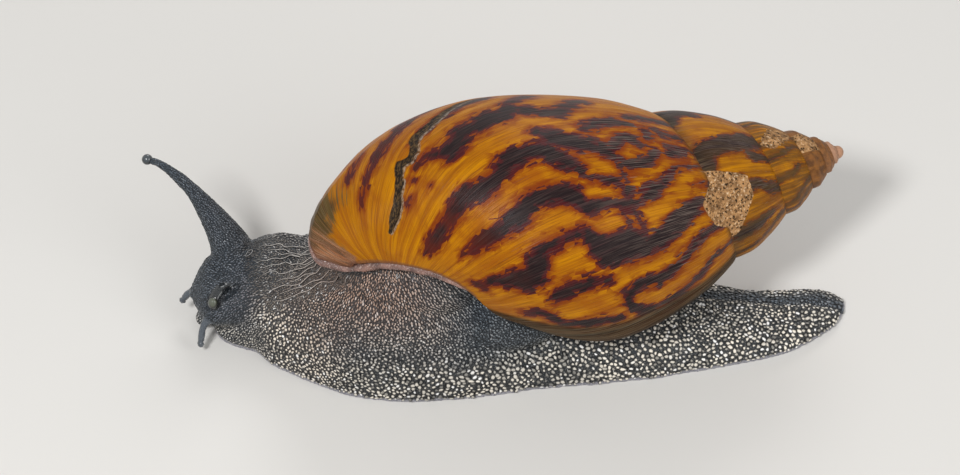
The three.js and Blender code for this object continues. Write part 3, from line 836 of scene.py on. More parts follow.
    roughness = ramp(tree, larger(tree, wornHold, filmAndSheen), 0.0, 1.0, 0.33, 0.62)
    roughness = plus(tree, roughness, ramp(tree, hair, 0.4, 0.75, 0.0, 0.2))
    height = plus(tree, times(tree, fine, 0.7), times(tree, hair, 0.35))
    height = minus(tree, height, times(tree, wornHold, times(tree, specks, 1.2)))
    finishWith(tree, shader, colour=colour, roughness=roughness, level=0.1,
               normal=bumped(tree, height, 0.0002, 1.0))
    return material


shellHorn = makeShellMaterial()
bodyWhorlMesh, lip = makeBodyWhorl()
bodyWhorl = addPiece("shell_body_whorl", bodyWhorlMesh, shellHorn, ["shell"])
addPiece("shell_spire", makeSpire(), shellHorn)
addPiece("shell_apex", makeApex(), shellHorn)
print("shell made")


# mantle: a soft roll that follows the free edge and closes the shell's mouth round the flesh

mantleSize = {
    # the section, in mm beyond the edge and in from the shell's outer face
    "section": [[-2.0, 2.6], [-1.3, 2.0], [-0.3, 1.3], [0.5, 0.7], [1.4, 0.8], [2.1, 1.6], [2.2, 2.7],
                [1.6, 3.8], [0.6, 4.8], [-0.8, 5.8]],
    "last": 0.9,             # share of the edge that the roll follows
    "steps": 420,
    "across": 34,
    "innerSteps": 14,
    # thickness of the roll along the edge, from the suture on
    "thickness": [0.5, 0.55, 0.6, 0.7, 0.9, 1.3, 1.7, 1.95, 2.05, 2.1, 2.05, 1.6, 0.9, 0.5, 0.4, 0.35],
    "evening": 30,           # rounds of averaging that keep the roll's section from twisting
    "cornering": 220,        # rounds that carry it round the lip's corner
    "cornerDrop": 0.5,       # mm that the edge stands further out there
    "cornerFlare": 1.1,      # how much more the roll turns out there
    "sag": [0, -0.35, -0.75],
    "sagging": 0.9,          # how much of that is added along the lower lip
    "flare": 0.65,           # how far the roll turns out over the flesh
    "hidden": [0.67, 0.73],  # from here on the roll stays behind the edge
    "heart": [-14, -3, 24],  # the closing sheet runs in towards here, inside the flesh
}


# each row a quarter of each neighbour and half of itself, round after round, the end rows held
def evened(rows, rounds):
    for _ in range(rounds):
        rows = np.concatenate([rows[:1], (rows[:-2] + 2 * rows[1:-1] + rows[2:]) / 4, rows[-1:]])
    return rows


# the section carried along the edge: its two numbers, times the thickness, are how far a point lies along
# beyond and along inward; a sheet then runs straight from its last row to the heart
def makeMantle():
    columns = lip["outer"].shape[0]
    last = int(columns * mantleSize["last"])
    along = np.linspace(0, last, mantleSize["steps"])
    low = np.floor(along).astype(int)
    f = (along - low)[:, None]

    # values at each step, shared between the two nearest columns of the shell's edge
    def onEdge(values):
        return values[low] * (1 - f) + values[np.minimum(low + 1, columns - 1)] * f

    edge = onEdge(lip["outer"][:, -1])
    beyond = unit(onEdge(lip["outward"]))
    reached = along[:, None] / columns
    inward = -unit(onEdge(lip["normal"][:, -1]))
    # at the lip's lower corner the growth lines run along the edge, so the roll hangs square to it
    eased = evened(edge, mantleSize["cornering"])
    corner = smoothStep(0.40, 0.425, reached) * smoothStep(0.57, 0.51, reached)
    inward = unit(inward + (evened(inward, mantleSize["cornering"]) - inward) * corner)
    square = unit(np.cross(inward, np.gradient(eased, axis=0)))
    beyond = beyond + (square - beyond) * corner
    edge = edge + (eased - edge) * corner + square * corner * mantleSize["cornerDrop"]
    sagging = mantleSize["sagging"] * smoothStep(0.39, 0.47, reached) * smoothStep(0.74, 0.68, reached)
    flare = mantleSize["flare"] * smoothStep(0.27, 0.38, reached) * smoothStep(0.72, 0.66, reached)
    atCorner = smoothStep(0.42, 0.455, reached) * smoothStep(0.53, 0.48, reached)
    flare = flare + mantleSize["cornerFlare"] * atCorner
    beyond = beyond + sagging * np.array(mantleSize["sag"]) - flare * inward
    beyond = unit(evened(beyond, mantleSize["evening"]))
    inward = unit(evened(inward, mantleSize["evening"]))
    beyond = beyond * (1 - 1.1 * smoothStep(*mantleSize["hidden"], reached))
    thickness = throughNumbers(mantleSize["thickness"], along / last)
    thickness = (thickness * (1 + 0.1 * smoothNoise(along[:, None], 9, 3)))[:, None, None]
    section = throughRows(mantleSize["section"], np.linspace(0, 1, mantleSize["across"]))[None]
    roll = (edge[:, None] + beyond[:, None] * (section[..., :1] * thickness)
            + inward[:, None] * (section[..., 1:] * thickness))
    share = np.linspace(0, 1, mantleSize["innerSteps"] + 1)[1:][None, :, None]
    start, heart = roll[:, -1:], np.array(mantleSize["heart"], float)
    sheet = start + (heart - start) * share
    points = np.concatenate([roll, sheet], 1)
    wrinkle = smoothNoise(points, 2.2, 9) * 0.06 + smoothNoise(points, 0.9, 4) * 0.03
    normal = gridNormals(points, points - points.reshape(-1, 3).mean(0))
    points = points + normal * wrinkle[..., None]
    inside = np.broadcast_to(np.linspace(0, 1, points.shape[1])[None, :], points.shape[:2])
    return makeMesh("mantle_edge", points, outwardFaces(points), {"inside": inside},
                    {"OFBake": sheetMap(points)})


# wet pink-brown in patches, with pale specks that are painted wet highlights, darker inside the mouth
def makeMantleMaterial():
    material, tree, shader = newMaterial("mantle_moist")
    place = ownPlace(tree)
    patches, grain = useMottle(tree, place, 260, 2600)
    inside = reading(tree, "inside")
    colour = mixColour(tree, patches, rgb("9a7366"), rgb("573c36"))
    specks = noiseAt(tree, place, 1900, 2)
    # painted highlight: pale specks of wet shine
    colour = mixColour(tree, ramp(tree, specks, 0.54, 0.68, 0.0, 0.4), colour, rgb("dcc3b8"))
    colour = mixColour(tree, ramp(tree, inside, 0.55, 0.8, 0.0, 0.7), colour, rgb("453a3a"))
    finishWith(tree, shader, colour=colour, roughness=ramp(tree, specks, 0.35, 0.7, 0.12, 0.4),
               level=0.35, coat=0.6, coatRoughness=0.06, normal=bumped(tree, grain, 0.0003, 0.9))
    return material


mantle = addPiece("mantle_edge", makeMantle(), makeMantleMaterial(),
                  ["mantle_collar", "mantle_rim"])
print("mantle made")


# flesh: foot and back, neck and head, feelers and mouth, lofted apart and grown into one skin

bodySize = {
    # x, centre y, half width, height, lean of the crest, from the nose to the tail
    "stations": [
        [-83.2, 2.5, 1.6, 2.2, 0], [-80.5, 1.6, 5.6, 4.6, 0], [-76, 1.8, 9.6, 9, 0],
        [-69, 3.2, 13.4, 18.5, 0], [-63.5, 3.8, 19.2, 24, 0], [-55, 3.6, 23.7, 27.6, -1],
        [-43, 0.2, 26.2, 36.5, -6], [-30, -1.9, 27.3, 43, -8], [-18, -2.3, 27.4, 43, -8],
        [-5, -1.9, 26.8, 36, -6], [12, -0.6, 25.2, 26, -1],
        [30, 0.4, 23.9, 19.5, 0], [50, 0.3, 21.4, 15, 0], [67, -0.3, 17.4, 10.8, 0], [82, -0.4, 13.9, 8.2, 0],
        [94, 1.6, 12.2, 6.9, 0], [103, 4.6, 9.8, 5.6, 0], [109.5, 7, 6.2, 3.9, 0], [113.6, 9, 1.2, 1.5, 0],
    ],
    "rim": 1.2,              # height of the upright edge of the foot
    "fullness": 1.15,        # above 1, the back is fuller than an ellipse
    "coat": 0.35,            # the skin lies this far inside the solids, under its granules
    "voxel": 0.58,           # side of the cubes that the skin is grown on
}
headSize = {
    # x, centre y, centre z, half width, half height
    "stations": [
        [-46, 3.4, 13.5, 18, 12], [-60, 4.6, 13.2, 16.5, 11.4], [-68, 5.2, 13, 13.6, 10],
        [-76, 5.2, 12, 12.2, 9.4], [-82.6, 5.6, 12, 12, 9.9], [-86, 5.4, 12, 7.6, 6.6],
        [-88.9, 4.8, 11.6, 1.6, 1.4],
    ],
    "mouthLobes": [[-85.2, -0.2, 5.6], [-85.2, 4.4, 5.4]],
    "mouthRadii": [2.3, 2.6, 2.3],
}
# the flesh that swells up into the shell's mouth and behind the long feeler, as ellipsoids
swellings = [
    {"centre": [-18, -8, 37.4], "radii": [24.5, 16, 12.2]},
    {"centre": [-36, 1, 31], "radii": [13, 15, 11.5]},
    {"centre": [5, -8.6, 25.5], "radii": [24, 17, 15.5]},
    {"centre": [-61, 9.3, 15.4], "radii": [15.5, 12.2, 12.2]},
]
# each a path of middles with radii along it, the share of it past which it is made round again, and the
# radius of a knob at its end
feelers = {
    "upperRight": {
        "path": [[-74.6, 10, 12.5], [-76.8, 14.2, 23.6], [-84.8, 19.3, 37.3], [-90.6, 21.8, 44.2],
                 [-96.4, 23.8, 48.6], [-100.6, 25.2, 49.4]],
        "radii": [9.6, 6, 2.8, 1.75, 1.05, 1.0],
        "roundFrom": 0.5,
    },
    "upperLeft": {"path": [[-76, 1.5, 15], [-78.6, -1.2, 19], [-80.9, -4.9, 18]], "radii": [3.4, 2.3, 1.7]},
    "lowerRight": {"path": [[-84.5, 5.6, 11.5], [-89, 5.8, 10.7], [-91.8, 5.2, 7.2]],
                   "radii": [1.9, 1.25, 0.95], "roundFrom": 0.55, "knob": 1.15},
    "lowerLeft": {"path": [[-81, -2, 11], [-84.4, -6.2, 8.8], [-85.4, -9.8, 3.9]],
                  "radii": [1.9, 1.25, 0.95], "roundFrom": 0.6, "knob": 1.15},
}


# foot and back: a low upright rim under an arch, the cosine of the angle across and a power of its sine
# upwards; the angle is 0 on the left and pi on the right, and the crest leans by the arch squared
def bodyPoint(s, angle):
    x, centre, half, height, lean = np.moveaxis(throughRows(bodySize["stations"], s), -1, 0)
    arch = np.maximum(np.sin(angle), 0) ** (1 / bodySize["fullness"])
    rim, coat = bodySize["rim"], bodySize["coat"]
    y = centre + lean * arch ** 2 - (half - coat) * np.cos(angle)
    z = rim + np.maximum(height - coat - rim, 0.2) * arch
    return np.stack(np.broadcast_arrays(x, y, z), -1)


# head: upright ellipses, their middles and half sizes running through the stations
def headPoint(s, angle):
    x, y, z, half, high = np.moveaxis(throughRows(headSize["stations"], s), -1, 0)
    coat = bodySize["coat"]
    ring = [x, y + (half - coat) * np.cos(angle), z + (high - coat) * np.sin(angle)]
    return np.stack(np.broadcast_arrays(*ring), -1)


# a tube: circles square to the path, their radius running through the given radii
def tubePoint(size, s, angle):
    step = 1e-3
    middle = throughRows(size["path"], s)
    ahead = unit(throughRows(size["path"], s + step) - throughRows(size["path"], s - step))
    side = unit(np.cross(ahead, [0, 0.3, 1.0]))
    up = np.cross(side, ahead)
    radius = throughNumbers(size["radii"], s)[..., None]
    return middle + radius * (np.cos(angle)[..., None] * side + np.sin(angle)[..., None] * up)


# a closed solid from rings: the ends close on the middle of their ring
def closedRings(rings):
    ends = [np.repeat(rings[k].mean(0)[None, None], rings.shape[1], 1) for k in (0, -1)]
    points = np.concatenate([ends[0], rings, ends[1]])
    faces = gridFaces(*points.shape[:2], closed=True)
    return points.reshape(-1, 3), faces


# rings of the foot and back: the arch, then the flat sole straight across from its end to its start
def bodyRings():
    s = np.linspace(0, 1, 260)[:, None]
    angle = np.linspace(0, math.pi, 70)[None, :]
    arch = bodyPoint(s, angle)
    sole = arch[:, -1:] + (arch[:, :1] - arch[:, -1:]) * np.linspace(0, 1, 26)[None, :, None]
    return np.concatenate([arch, sole * [1, 1, 0]], 1)


# every pair of a share along and an angle round
def grid(along, around):
    angles = np.linspace(0, fullTurn, around, endpoint=False)
    return np.meshgrid(np.linspace(0, 1, along), angles, indexing="ij")


# the separate closed solids that the skin grows over
def fleshSolids():
    solids = [closedRings(bodyRings()), closedRings(headPoint(*grid(60, 64)))]
    for size in feelers.values():
        solids.append(closedRings(tubePoint(size, *grid(70, 32))))
        if "knob" in size:
            solids.append(closedRings(beadPoints(size["path"][-1], [size["knob"]] * 3)))
    for lobe in headSize["mouthLobes"]:
        solids.append(closedRings(beadPoints(lobe, headSize["mouthRadii"])))
    for mass in swellings:
        solids.append(closedRings(beadPoints(mass["centre"], mass["radii"], 64, 40)))
    return solids


# one list of points and faces: each solid's faces count on from the points before it
def joinedSolids(solids):
    offset = 0
    points, faces = [], []
    for solidPoints, solidFaces in solids:
        points.append(solidPoints)
        faces.append(turnOutward(solidPoints, solidFaces) + offset)
        offset += len(solidPoints)
    return np.concatenate(points), np.concatenate(faces)


# one skin over all the solids: remeshed on small cubes and smoothed
def grownSkin():
    rough = newObject("rough", makeMesh("rough", *joinedSolids(fleshSolids())))
    remesh = rough.modifiers.new("remesh", "REMESH")
    remesh.mode = "VOXEL"
    remesh.voxel_size = bodySize["voxel"] * mm
    soften = rough.modifiers.new("soften", "SMOOTH")
    soften.factor = 0.5
    soften.iterations = 10
    shaped = rough.evaluated_get(bpy.context.evaluated_depsgraph_get())
    mesh = bpy.data.meshes.new_from_object(shaped)
    mesh.name = "skin"
    bpy.data.objects.remove(rough)
    return mesh


# one vector from each of a mesh's points, normals or faces
def readVectors(items, key):
    values = np.empty(len(items) * 3, np.float32)
    items.foreach_get(key, values)
    return values.reshape(-1, 3).astype(float)


# distance to a path of straight legs, and the share of the path at the nearest place: each point is
# dropped square onto every leg, and the nearest foot kept
def nearPath(points, path):
    path = np.asarray(path, float)
    best = np.full(len(points), 1e9)
    share = np.zeros(len(points))
    for k, (a, b) in enumerate(zip(path[:-1], path[1:])):
        t = np.clip((points - a) @ (b - a) / ((b - a) @ (b - a)), 0, 1)
        away = np.linalg.norm(points - a - t[:, None] * (b - a), axis=1)
        nearer = away < best
        best = np.where(nearer, away, best)
        share = np.where(nearer, (k + t) / (len(path) - 1), share)
    return best, share


# a thin feeler loses its roundness on the cubes, so past this share its points move straight out from the
# path, or in, to its own radius
def roundFeeler(points, size):
    fine = throughRows(size["path"], np.linspace(0, 1, 60))
    away, share = nearPath(points, fine)
    radius = throughNumbers(size["radii"], share)
    if "knob" in size:
        end = np.linalg.norm(points - fine[-1], axis=1)
        radius = np.where(end < size["knob"] * 1.25, size["knob"], radius)
        away = np.where(end < size["knob"] * 1.25, end, away)
    hold = smoothStep(size["roundFrom"], size["roundFrom"] + 0.12, share)
    hold = hold * (away < radius * 1.7) * (share < 0.995)
    middle = throughRows(fine, share)
    direction = unit(points - middle)
    return points + direction * ((radius - away) * hold)[:, None]


# marks on the skin: the collar under the shell's mouth, the crease and the pocket by the drawn-in feeler,
# the pit by the collar and the lines on the neck
collarPath = [[-42, 6, 44], [-41, -8, 40], [-38, -15, 38], [-30, -20, 42], [-18, -22, 42], [-8, -26, 38]]
creasePath = [[-79.4, -5.6, 17.5], [-78, -3.8, 18.5], [-76.3, -2.3, 19.2], [-74.2, -0.4, 20.4]]
pocketPath = [[-77, -1, 20.8], [-78.6, -1.9, 20.4], [-80.4, -4.6, 19.4]]
pitPlace = {"centre": [-36.5, -15.5, 40.5], "radii": [0.9, 1.2, 1.8]}
shadeReach = 1.5             # mm from the shell or the mantle within which their shade falls
# the neck's lines: half width, height and sway in mm
lineSize = {"count": 9, "half": 0.2, "height": 0.42, "steps": 80, "sway": 0.3}
skinRelief = {               # heights in mm
    "folds": 0.4,
    "lumps": 0.2,
    "tailRidge": 0.7,
    "crease": 1.6,
    "pit": 1.1,
    "fan": 0.25,             # folds at the shell's mouth
    "footWave": 0.45,
    "footRipple": 0.12,
    "footInset": 0.15,       # how far in the wavy edge is drawn
}
eyeSize = {
    "right": {"centre": [-100.6, 25.2, 49.4], "radii": [1.66, 1.66, 1.66]},
    "left": {"centre": [-80.9, -5, 17.9], "radii": [1.7, 1.75, 2.2]},
    "looks": [-0.1, -0.6, 0.8],   # the way towards the key lamp and the camera, where the eyes are painted paler
}


# how far a place lies to the side of the line down the middle of the tail
def besideTail(x, y):
    return y - 0.9 - 0.02 * x


# distance from the middle of the pit, 1 on its rim
def fromPit(points):
    return np.linalg.norm((points - pitPlace["centre"]) / pitPlace["radii"], axis=1)


# the grown skin pushed along its normals: noise for folds and lumps, bell curves of the distance for the
# ridge, the crease, the pit and the fan of folds, and noise again, level, for the foot's edge
def sculptSkin(mesh):
    points = readVectors(mesh.vertices, "co") / mm
    for size in feelers.values():
        if "roundFrom" in size:
            points = roundFeeler(points, size)
    normals = readVectors(mesh.vertex_normals, "vector")
    x, y, z = points.T
    flank = smoothStep(1.5, 8, z)
    # soft folds down the flanks, and lumps under the granules
    folds = smoothNoise(np.stack([x + 0.35 * np.abs(y), z * 0.25], -1), 7.5, 21) * skinRelief["folds"]
    folds = folds * smoothStep(-62, -45, x)
    lumps = smoothNoise(points, 4.0, 22) * skinRelief["lumps"]
    # a low ridge down the middle of the tail
    ridge = skinRelief["tailRidge"] * np.exp(-(besideTail(x, y) / 1.1) ** 2)
    ridge = ridge * smoothStep(52, 70, x) * smoothStep(2, 4, z)
    push = (folds + lumps) * flank * smoothStep(-86, -70, x) + ridge
    # the crease beside the drawn-in feeler, and the pit by the collar
    away, _ = nearPath(points, creasePath)
    push -= skinRelief["crease"] * np.exp(-(away / 0.85) ** 2)
    push -= skinRelief["pit"] * np.exp(-fromPit(points) ** 2)
    # folds that fan out of the shell's mouth
    away, _ = nearPath(points, collarPath)
    radial = smoothNoise(np.stack([np.arctan2(z - 36, x + 30) * 14, y * 0.1], -1), 1.4, 30)
    push += radial * skinRelief["fan"] * np.exp(-(away / 9) ** 2)
    points = points + normals * push[:, None]
    # the foot's thin edge waves in and out, and the sole stays flat
    x, y, z = points.T
    level = np.stack([x, y * 0.2], -1)
    wave = smoothNoise(level, 5.0, 31) * skinRelief["footWave"]
    wave = wave + smoothNoise(level, 1.6, 32) * skinRelief["footRipple"]
    margin = smoothStep(2.6, 0.9, z) * (x > -84) * (x < 112.5)
    points = points + normals * [1, 1, 0] * ((wave - skinRelief["footInset"]) * margin)[:, None]
    points[:, 2] = np.where(points[:, 2] < 0.3, 0.0, points[:, 2])
    points = np.clip(points, boxLow * [1, 1, 0], boxHigh)
    mesh.vertices.foreach_set("co", (points * mm).astype(np.float32).ravel())
    mesh.update()
    return points


# 1 where the skin touches the shell or the mantle, and their shade falls on it: a smooth step of how far
# within the shade's reach each point lies
def nearEdge(points):
    ready = bpy.context.evaluated_depsgraph_get()
    shade = np.zeros(len(points))
    for cover in (bodyWhorl, mantle):
        tree = BVHTree.FromObject(cover, ready)
        for index, point in enumerate(points * mm):
            distance = tree.find_nearest(Vector(point), shadeReach * mm)[3]
            if distance is not None:
                shade[index] = max(shade[index], 1 - distance / mm / shadeReach)
    return smoothStep(0.0, 0.75, shade)


# the ends of neck line k, on the head and at the shell's mouth: both step to the left as k grows
def neckLine(k):
    onHead = np.array([-68.5 + 0.08 * k * k, 10.2 - 2.3 * k, 26 - 0.5 * k])
    atMouth = np.array([-51 + 1.5 * k, 9.5 - 2.75 * k, 33 + 1.1 * k])
    return onHead, atMouth


# 1 on the neck where lines take the place of granules: a smooth step of the distance to the nearest line
def linedShare(points):
    away = np.min([nearPath(points, neckLine(k))[0] for k in range(lineSize["count"])], 0)
    return smoothStep(5.0, 3.0, away)


# where the flesh is pale, warm brown, blue-black and so on, from 0 to 1 each: products of smooth steps
# along the snail's length, width and height, and bell curves round the marks
def fleshTint(points):
    x, y, z = points.T
    away, _ = nearPath(points, collarPath)
    side = smoothStep(6, -8, y)
    reach = 15 + 13 * smoothStep(-36, -52, x)
    warm = np.exp(-(np.maximum(away - 2, 0) / reach) ** 2) * smoothStep(2, -30, x) * (0.4 + 0.6 * side)
    head = smoothStep(-60, -75, x) * (0.3 + 0.7 * smoothStep(4, 13, z))
    cheek = smoothStep(-72, -64, x) * smoothStep(-42, -50, x)
    cheek = cheek * smoothStep(0, -10, y) * smoothStep(8, 16, z)
    tail = smoothStep(20, 60, x)
    lowFlank = smoothStep(24, 9, z)
    pale = 0.35 + 0.6 * lowFlank * (1 - head) + 0.3 * tail
    pale = np.clip(pale - 0.44 * head + 0.25 * cheek + 0.15 * smoothNoise(points, 7, 41), 0, 1)
    under = smoothStep(-16, 2, x) * smoothStep(11, 26, z)
    waver = y - 0.02 * x + 1.1 * smoothNoise(points, 5, 44)
    band = tail * smoothStep(1.6, 3.6, waver) * smoothStep(9.5, 4.5, waver)
    patchy = 0.3 * smoothNoise(points, 5.5, 43)
    blue = np.clip(0.3 + 0.5 * head + 0.6 * under + 0.9 * band - warm - 0.3 * cheek + patchy, 0, 1)
    crest = np.exp(-(besideTail(x, y) / 0.75) ** 2) * smoothStep(48, 62, x)
    pale = np.clip(pale * (1 - 0.85 * band) * (1 - 0.5 * under) + crest, 0, 1)
    margin = smoothStep(1.9, 1.2, z)
    crease, _ = nearPath(points, creasePath)
    pocket, _ = nearPath(points, pocketPath)
    knob = np.linalg.norm(points - eyeSize["left"]["centre"], axis=1)
    # dark: painted shade in the crease, in the pit, in a ring round the drawn-in knob, and where the shell
    # and the mantle meet the skin
    dark = np.maximum(np.exp(-(crease / 1.15) ** 4), np.exp(-fromPit(points) ** 2))
    dark = np.maximum(dark, np.maximum(0.9 * smoothStep(3.0, 2.2, knob), 0.85 * nearEdge(points)))
    # the drawn-in feeler's stub: near black, partly its own dark colour and partly painted shade of the
    # pocket it lies in
    stub = smoothStep(2.7, 1.8, pocket)
    lower = [nearPath(points, feelers[name]["path"])[0] for name in ("lowerRight", "lowerLeft")]
    return {"pale": pale, "warm": warm, "blue": blue, "margin": margin, "dark": dark, "stub": stub,
            "slate": smoothStep(2.6, 1.4, np.minimum(*lower)), "lined": linedShare(points)}


# wet skin between and under the granules: dark and mottled, with fine beads of its own, then the tints
def makeSkinMaterial():
    material, tree, shader = newMaterial("flesh_skin")
    place = ownPlace(tree)
    patches, grain = useMottle(tree, place, 220, 2200)
    cells = put(tree, "TexVoronoi", {"Vector": place, "Scale": 1250.0}, feature="DISTANCE_TO_EDGE")
    bead = ramp(tree, cells.outputs["Distance"], 0.02, 0.28)
    colour = mixColour(tree, patches, rgb("1e2429"), rgb("101418"))
    colour = mixColour(tree, reading(tree, "warm"), colour, rgb("3c2d27"))
    colour = mixColour(tree, times(tree, reading(tree, "blue"), 0.6), colour, rgb("19222b"))
    tip = mixColour(tree, reading(tree, "pale"), rgb("4e5a64"), rgb("8c8a86"))
    colour = mixColour(tree, times(tree, bead, 0.4), colour, tip)
    rimTone = mixColour(tree, ramp(tree, grain, 0.35, 0.65), rgb("7d7d88"), rgb("b4b2ba"))
    colour = mixColour(tree, reading(tree, "margin"), colour, rimTone)
    colour = mixColour(tree, reading(tree, "slate"), colour, rgb("4a525b"))
    # the stub: partly its own dark colour, partly painted shade of its pocket
    colour = mixColour(tree, reading(tree, "stub"), colour, rgb("0c1418"))
    # painted shade: the crease, the pit, the ring round the knob and the skin beside the shell and the mantle
    colour = mixColour(tree, reading(tree, "dark"), colour, rgb("0b0d0f"))
    height = plus(tree, bead, times(tree, grain, 0.3))
    wet = larger(tree, reading(tree, "stub"), reading(tree, "slate"))
    roughness = minus(tree, ramp(tree, grain, 0.3, 0.7, 0.32, 0.5), times(tree, wet, 0.2))
    finishWith(tree, shader, colour=colour, roughness=roughness, level=0.3,
               coat=ramp(tree, wet, 0, 1, 0.1, 0.8), coatRoughness=0.08,
               normal=bumped(tree, height, 0.00022, 0.9))
    return material


fleshNodes = ["head", "mouth", "neck", "foot_front", "trunk", "foot_rear", "tail",
              "tentacle_upper_right_base", "tentacle_upper_right_tip", "tentacle_upper_left",
              "tentacle_lower_right", "tentacle_lower_left"]
skinMesh = grownSkin()
skinPoints = sculptSkin(skinMesh)
writeAttributes(skinMesh, fleshTint(skinPoints))
skinMesh.shade_smooth()
skin = addPiece("skin", skinMesh, makeSkinMaterial(), fleshNodes)
print("skin made:", len(skinMesh.polygons), "faces")


# granules: small domes packed close over the skin, row behind row

granuleSize = {
    "flank": 1.04,           # least distance between neighbours, by region
    "middle": 1.3,
    "upper": 0.8,
    "tail": 1.12,
    "head": 0.66,
    "collar": 0.72,
    "lined": 0.6,
    "feelerTip": 0.45,
    "reach": 0.7,            # radius and height, as shares of that distance
    "height": 0.36,
    "sunk": 0.14,            # how far the base lies under the skin
    "shoulder": [0.68, 0.72],   # the dome's shoulder, as shares of its radius and height
    "sides": 6,
    "patch": 0.003,          # size of one granule on the unwrapped skin
    "fanCentre": [-27, -6, 54],
    "feelerWay": [-0.45, 0.25, 0.85],
    # bare skin round the eyes and marks
    "clear": {"knob": 2.5, "bulb": 2.2, "pocket": 2.1, "crease": 1.25, "feeler": 2},
}


# how far each point belongs to each region, from 0 to 1: smooth steps of its place
def regionsOf(points):
    x, _, z = points.T
    collar, _ = nearPath(points, collarPath)
    feeler, along = nearPath(points, feelers["upperRight"]["path"])
    onFeeler = smoothStep(12, 7, feeler) * smoothStep(0.12, 0.3, along)
    return {
        "low": smoothStep(27, 15, z),
        "middle": smoothStep(-46, -14, x) * smoothStep(76, 44, x) * smoothStep(24, 8, z),
        "tail": smoothStep(40, 75, x),
        "head": smoothStep(-60, -70, x),
        "collar": smoothStep(15, 5, collar),
        "feeler": onFeeler * np.clip(along, 0, 1),
        "lined": linedShare(points) * (1 - onFeeler),
    }


# the least distance between granules: each region's own, mixed in by its share, and noise of 16% either way
def granuleSpacing(points):
    here = regionsOf(points)
    size = granuleSize
    spacing = size["upper"] + (size["flank"] - size["upper"]) * here["low"]
    for region in ("middle", "tail", "head", "collar", "lined"):
        spacing = spacing + (size[region] - spacing) * here[region]
    spacing = spacing + (size["feelerTip"] - spacing) * here["feeler"]
    return spacing * (1 + 0.16 * smoothNoise(points, 5, 51))


# indices of points no closer together than the spacing, taken in the given order: each one taken rules
# out all that are left within its spacing
def packedRoots(points, spacing, order):
    tree = KDTree(len(points))
    for index, point in enumerate(points):
        tree.insert(point, index)
    tree.balance()
    free = np.ones(len(points), bool)
    roots = []
    for index in order:
        if free[index]:
            roots.append(index)
            near = tree.find_range(points[index], spacing[index])
            free[[found[1] for found in near]] = False
    return np.array(roots)


# true where a line straight out of the skin meets the shell from inside, 80 mm away at most
def underShell(points, normals):
    shell = BVHTree.FromObject(bodyWhorl, bpy.context.evaluated_depsgraph_get())
    covered = np.zeros(len(points), bool)
    for index, (point, normal) in enumerate(zip(points * mm, normals)):
        _, face, _, distance = shell.ray_cast(Vector(point), Vector(normal), 80 * mm)
        covered[index] = distance is not None and face.dot(Vector(normal)) > 0.1
    return covered


# where granules grow, out of the skin's points and face middles: above the sole, clear of the marks and
# out in the open, then packed row behind row and shaken a little
def granuleRoots(mesh, skinPoints):
    points = np.concatenate([skinPoints, readVectors(mesh.polygons, "center") / mm])
    normals = np.concatenate([readVectors(mesh.vertex_normals, "vector"),
                              readVectors(mesh.polygons, "normal")])
    x, y, z = points.T
    clear = granuleSize["clear"]
    wanted = (z > 1.5) & (normals[:, 2] > -0.85)
    wanted &= np.linalg.norm(points - eyeSize["left"]["centre"], axis=1) > clear["knob"]
    wanted &= np.linalg.norm(points - eyeSize["right"]["centre"], axis=1) > clear["bulb"]
    wanted &= nearPath(points, pocketPath)[0] > clear["pocket"]
    wanted &= nearPath(points, creasePath)[0] > clear["crease"]
    for name in ("lowerRight", "lowerLeft"):
        away, share = nearPath(points, feelers[name]["path"])
        wanted &= (away > clear["feeler"]) | (share < 0.35)
    # the top of the trunk lies deep in the shell
    wanted &= ~((x > -12) & (x < 30) & (np.abs(y) < 14) & (z > 26))
    points, normals = points[wanted], normals[wanted]
    random = np.random.default_rng(5)
    # rows run along the flank, and round the end of the tail
    x, y, z = points.T
    arcs = 30 - np.hypot(x - 62, (y - 3) * 2.5) * 0.9
    rank = z + (arcs - z) * smoothStep(58, 74, x) + random.uniform(-0.9, 0.9, len(points))
    roots = packedRoots(points, granuleSpacing(points), np.argsort(rank))
    points, normals = points[roots], unit(normals[roots])
    shown = ~underShell(points, normals)
    points, normals = points[shown], normals[shown]
    spacing = granuleSpacing(points)
    return points + random.uniform(-0.13, 0.13, points.shape) * spacing[:, None], normals, spacing


# granules by the shell's mouth lie away from a place above it
def fanDirection(points):
    return unit(points - np.array(granuleSize["fanCentre"], float))


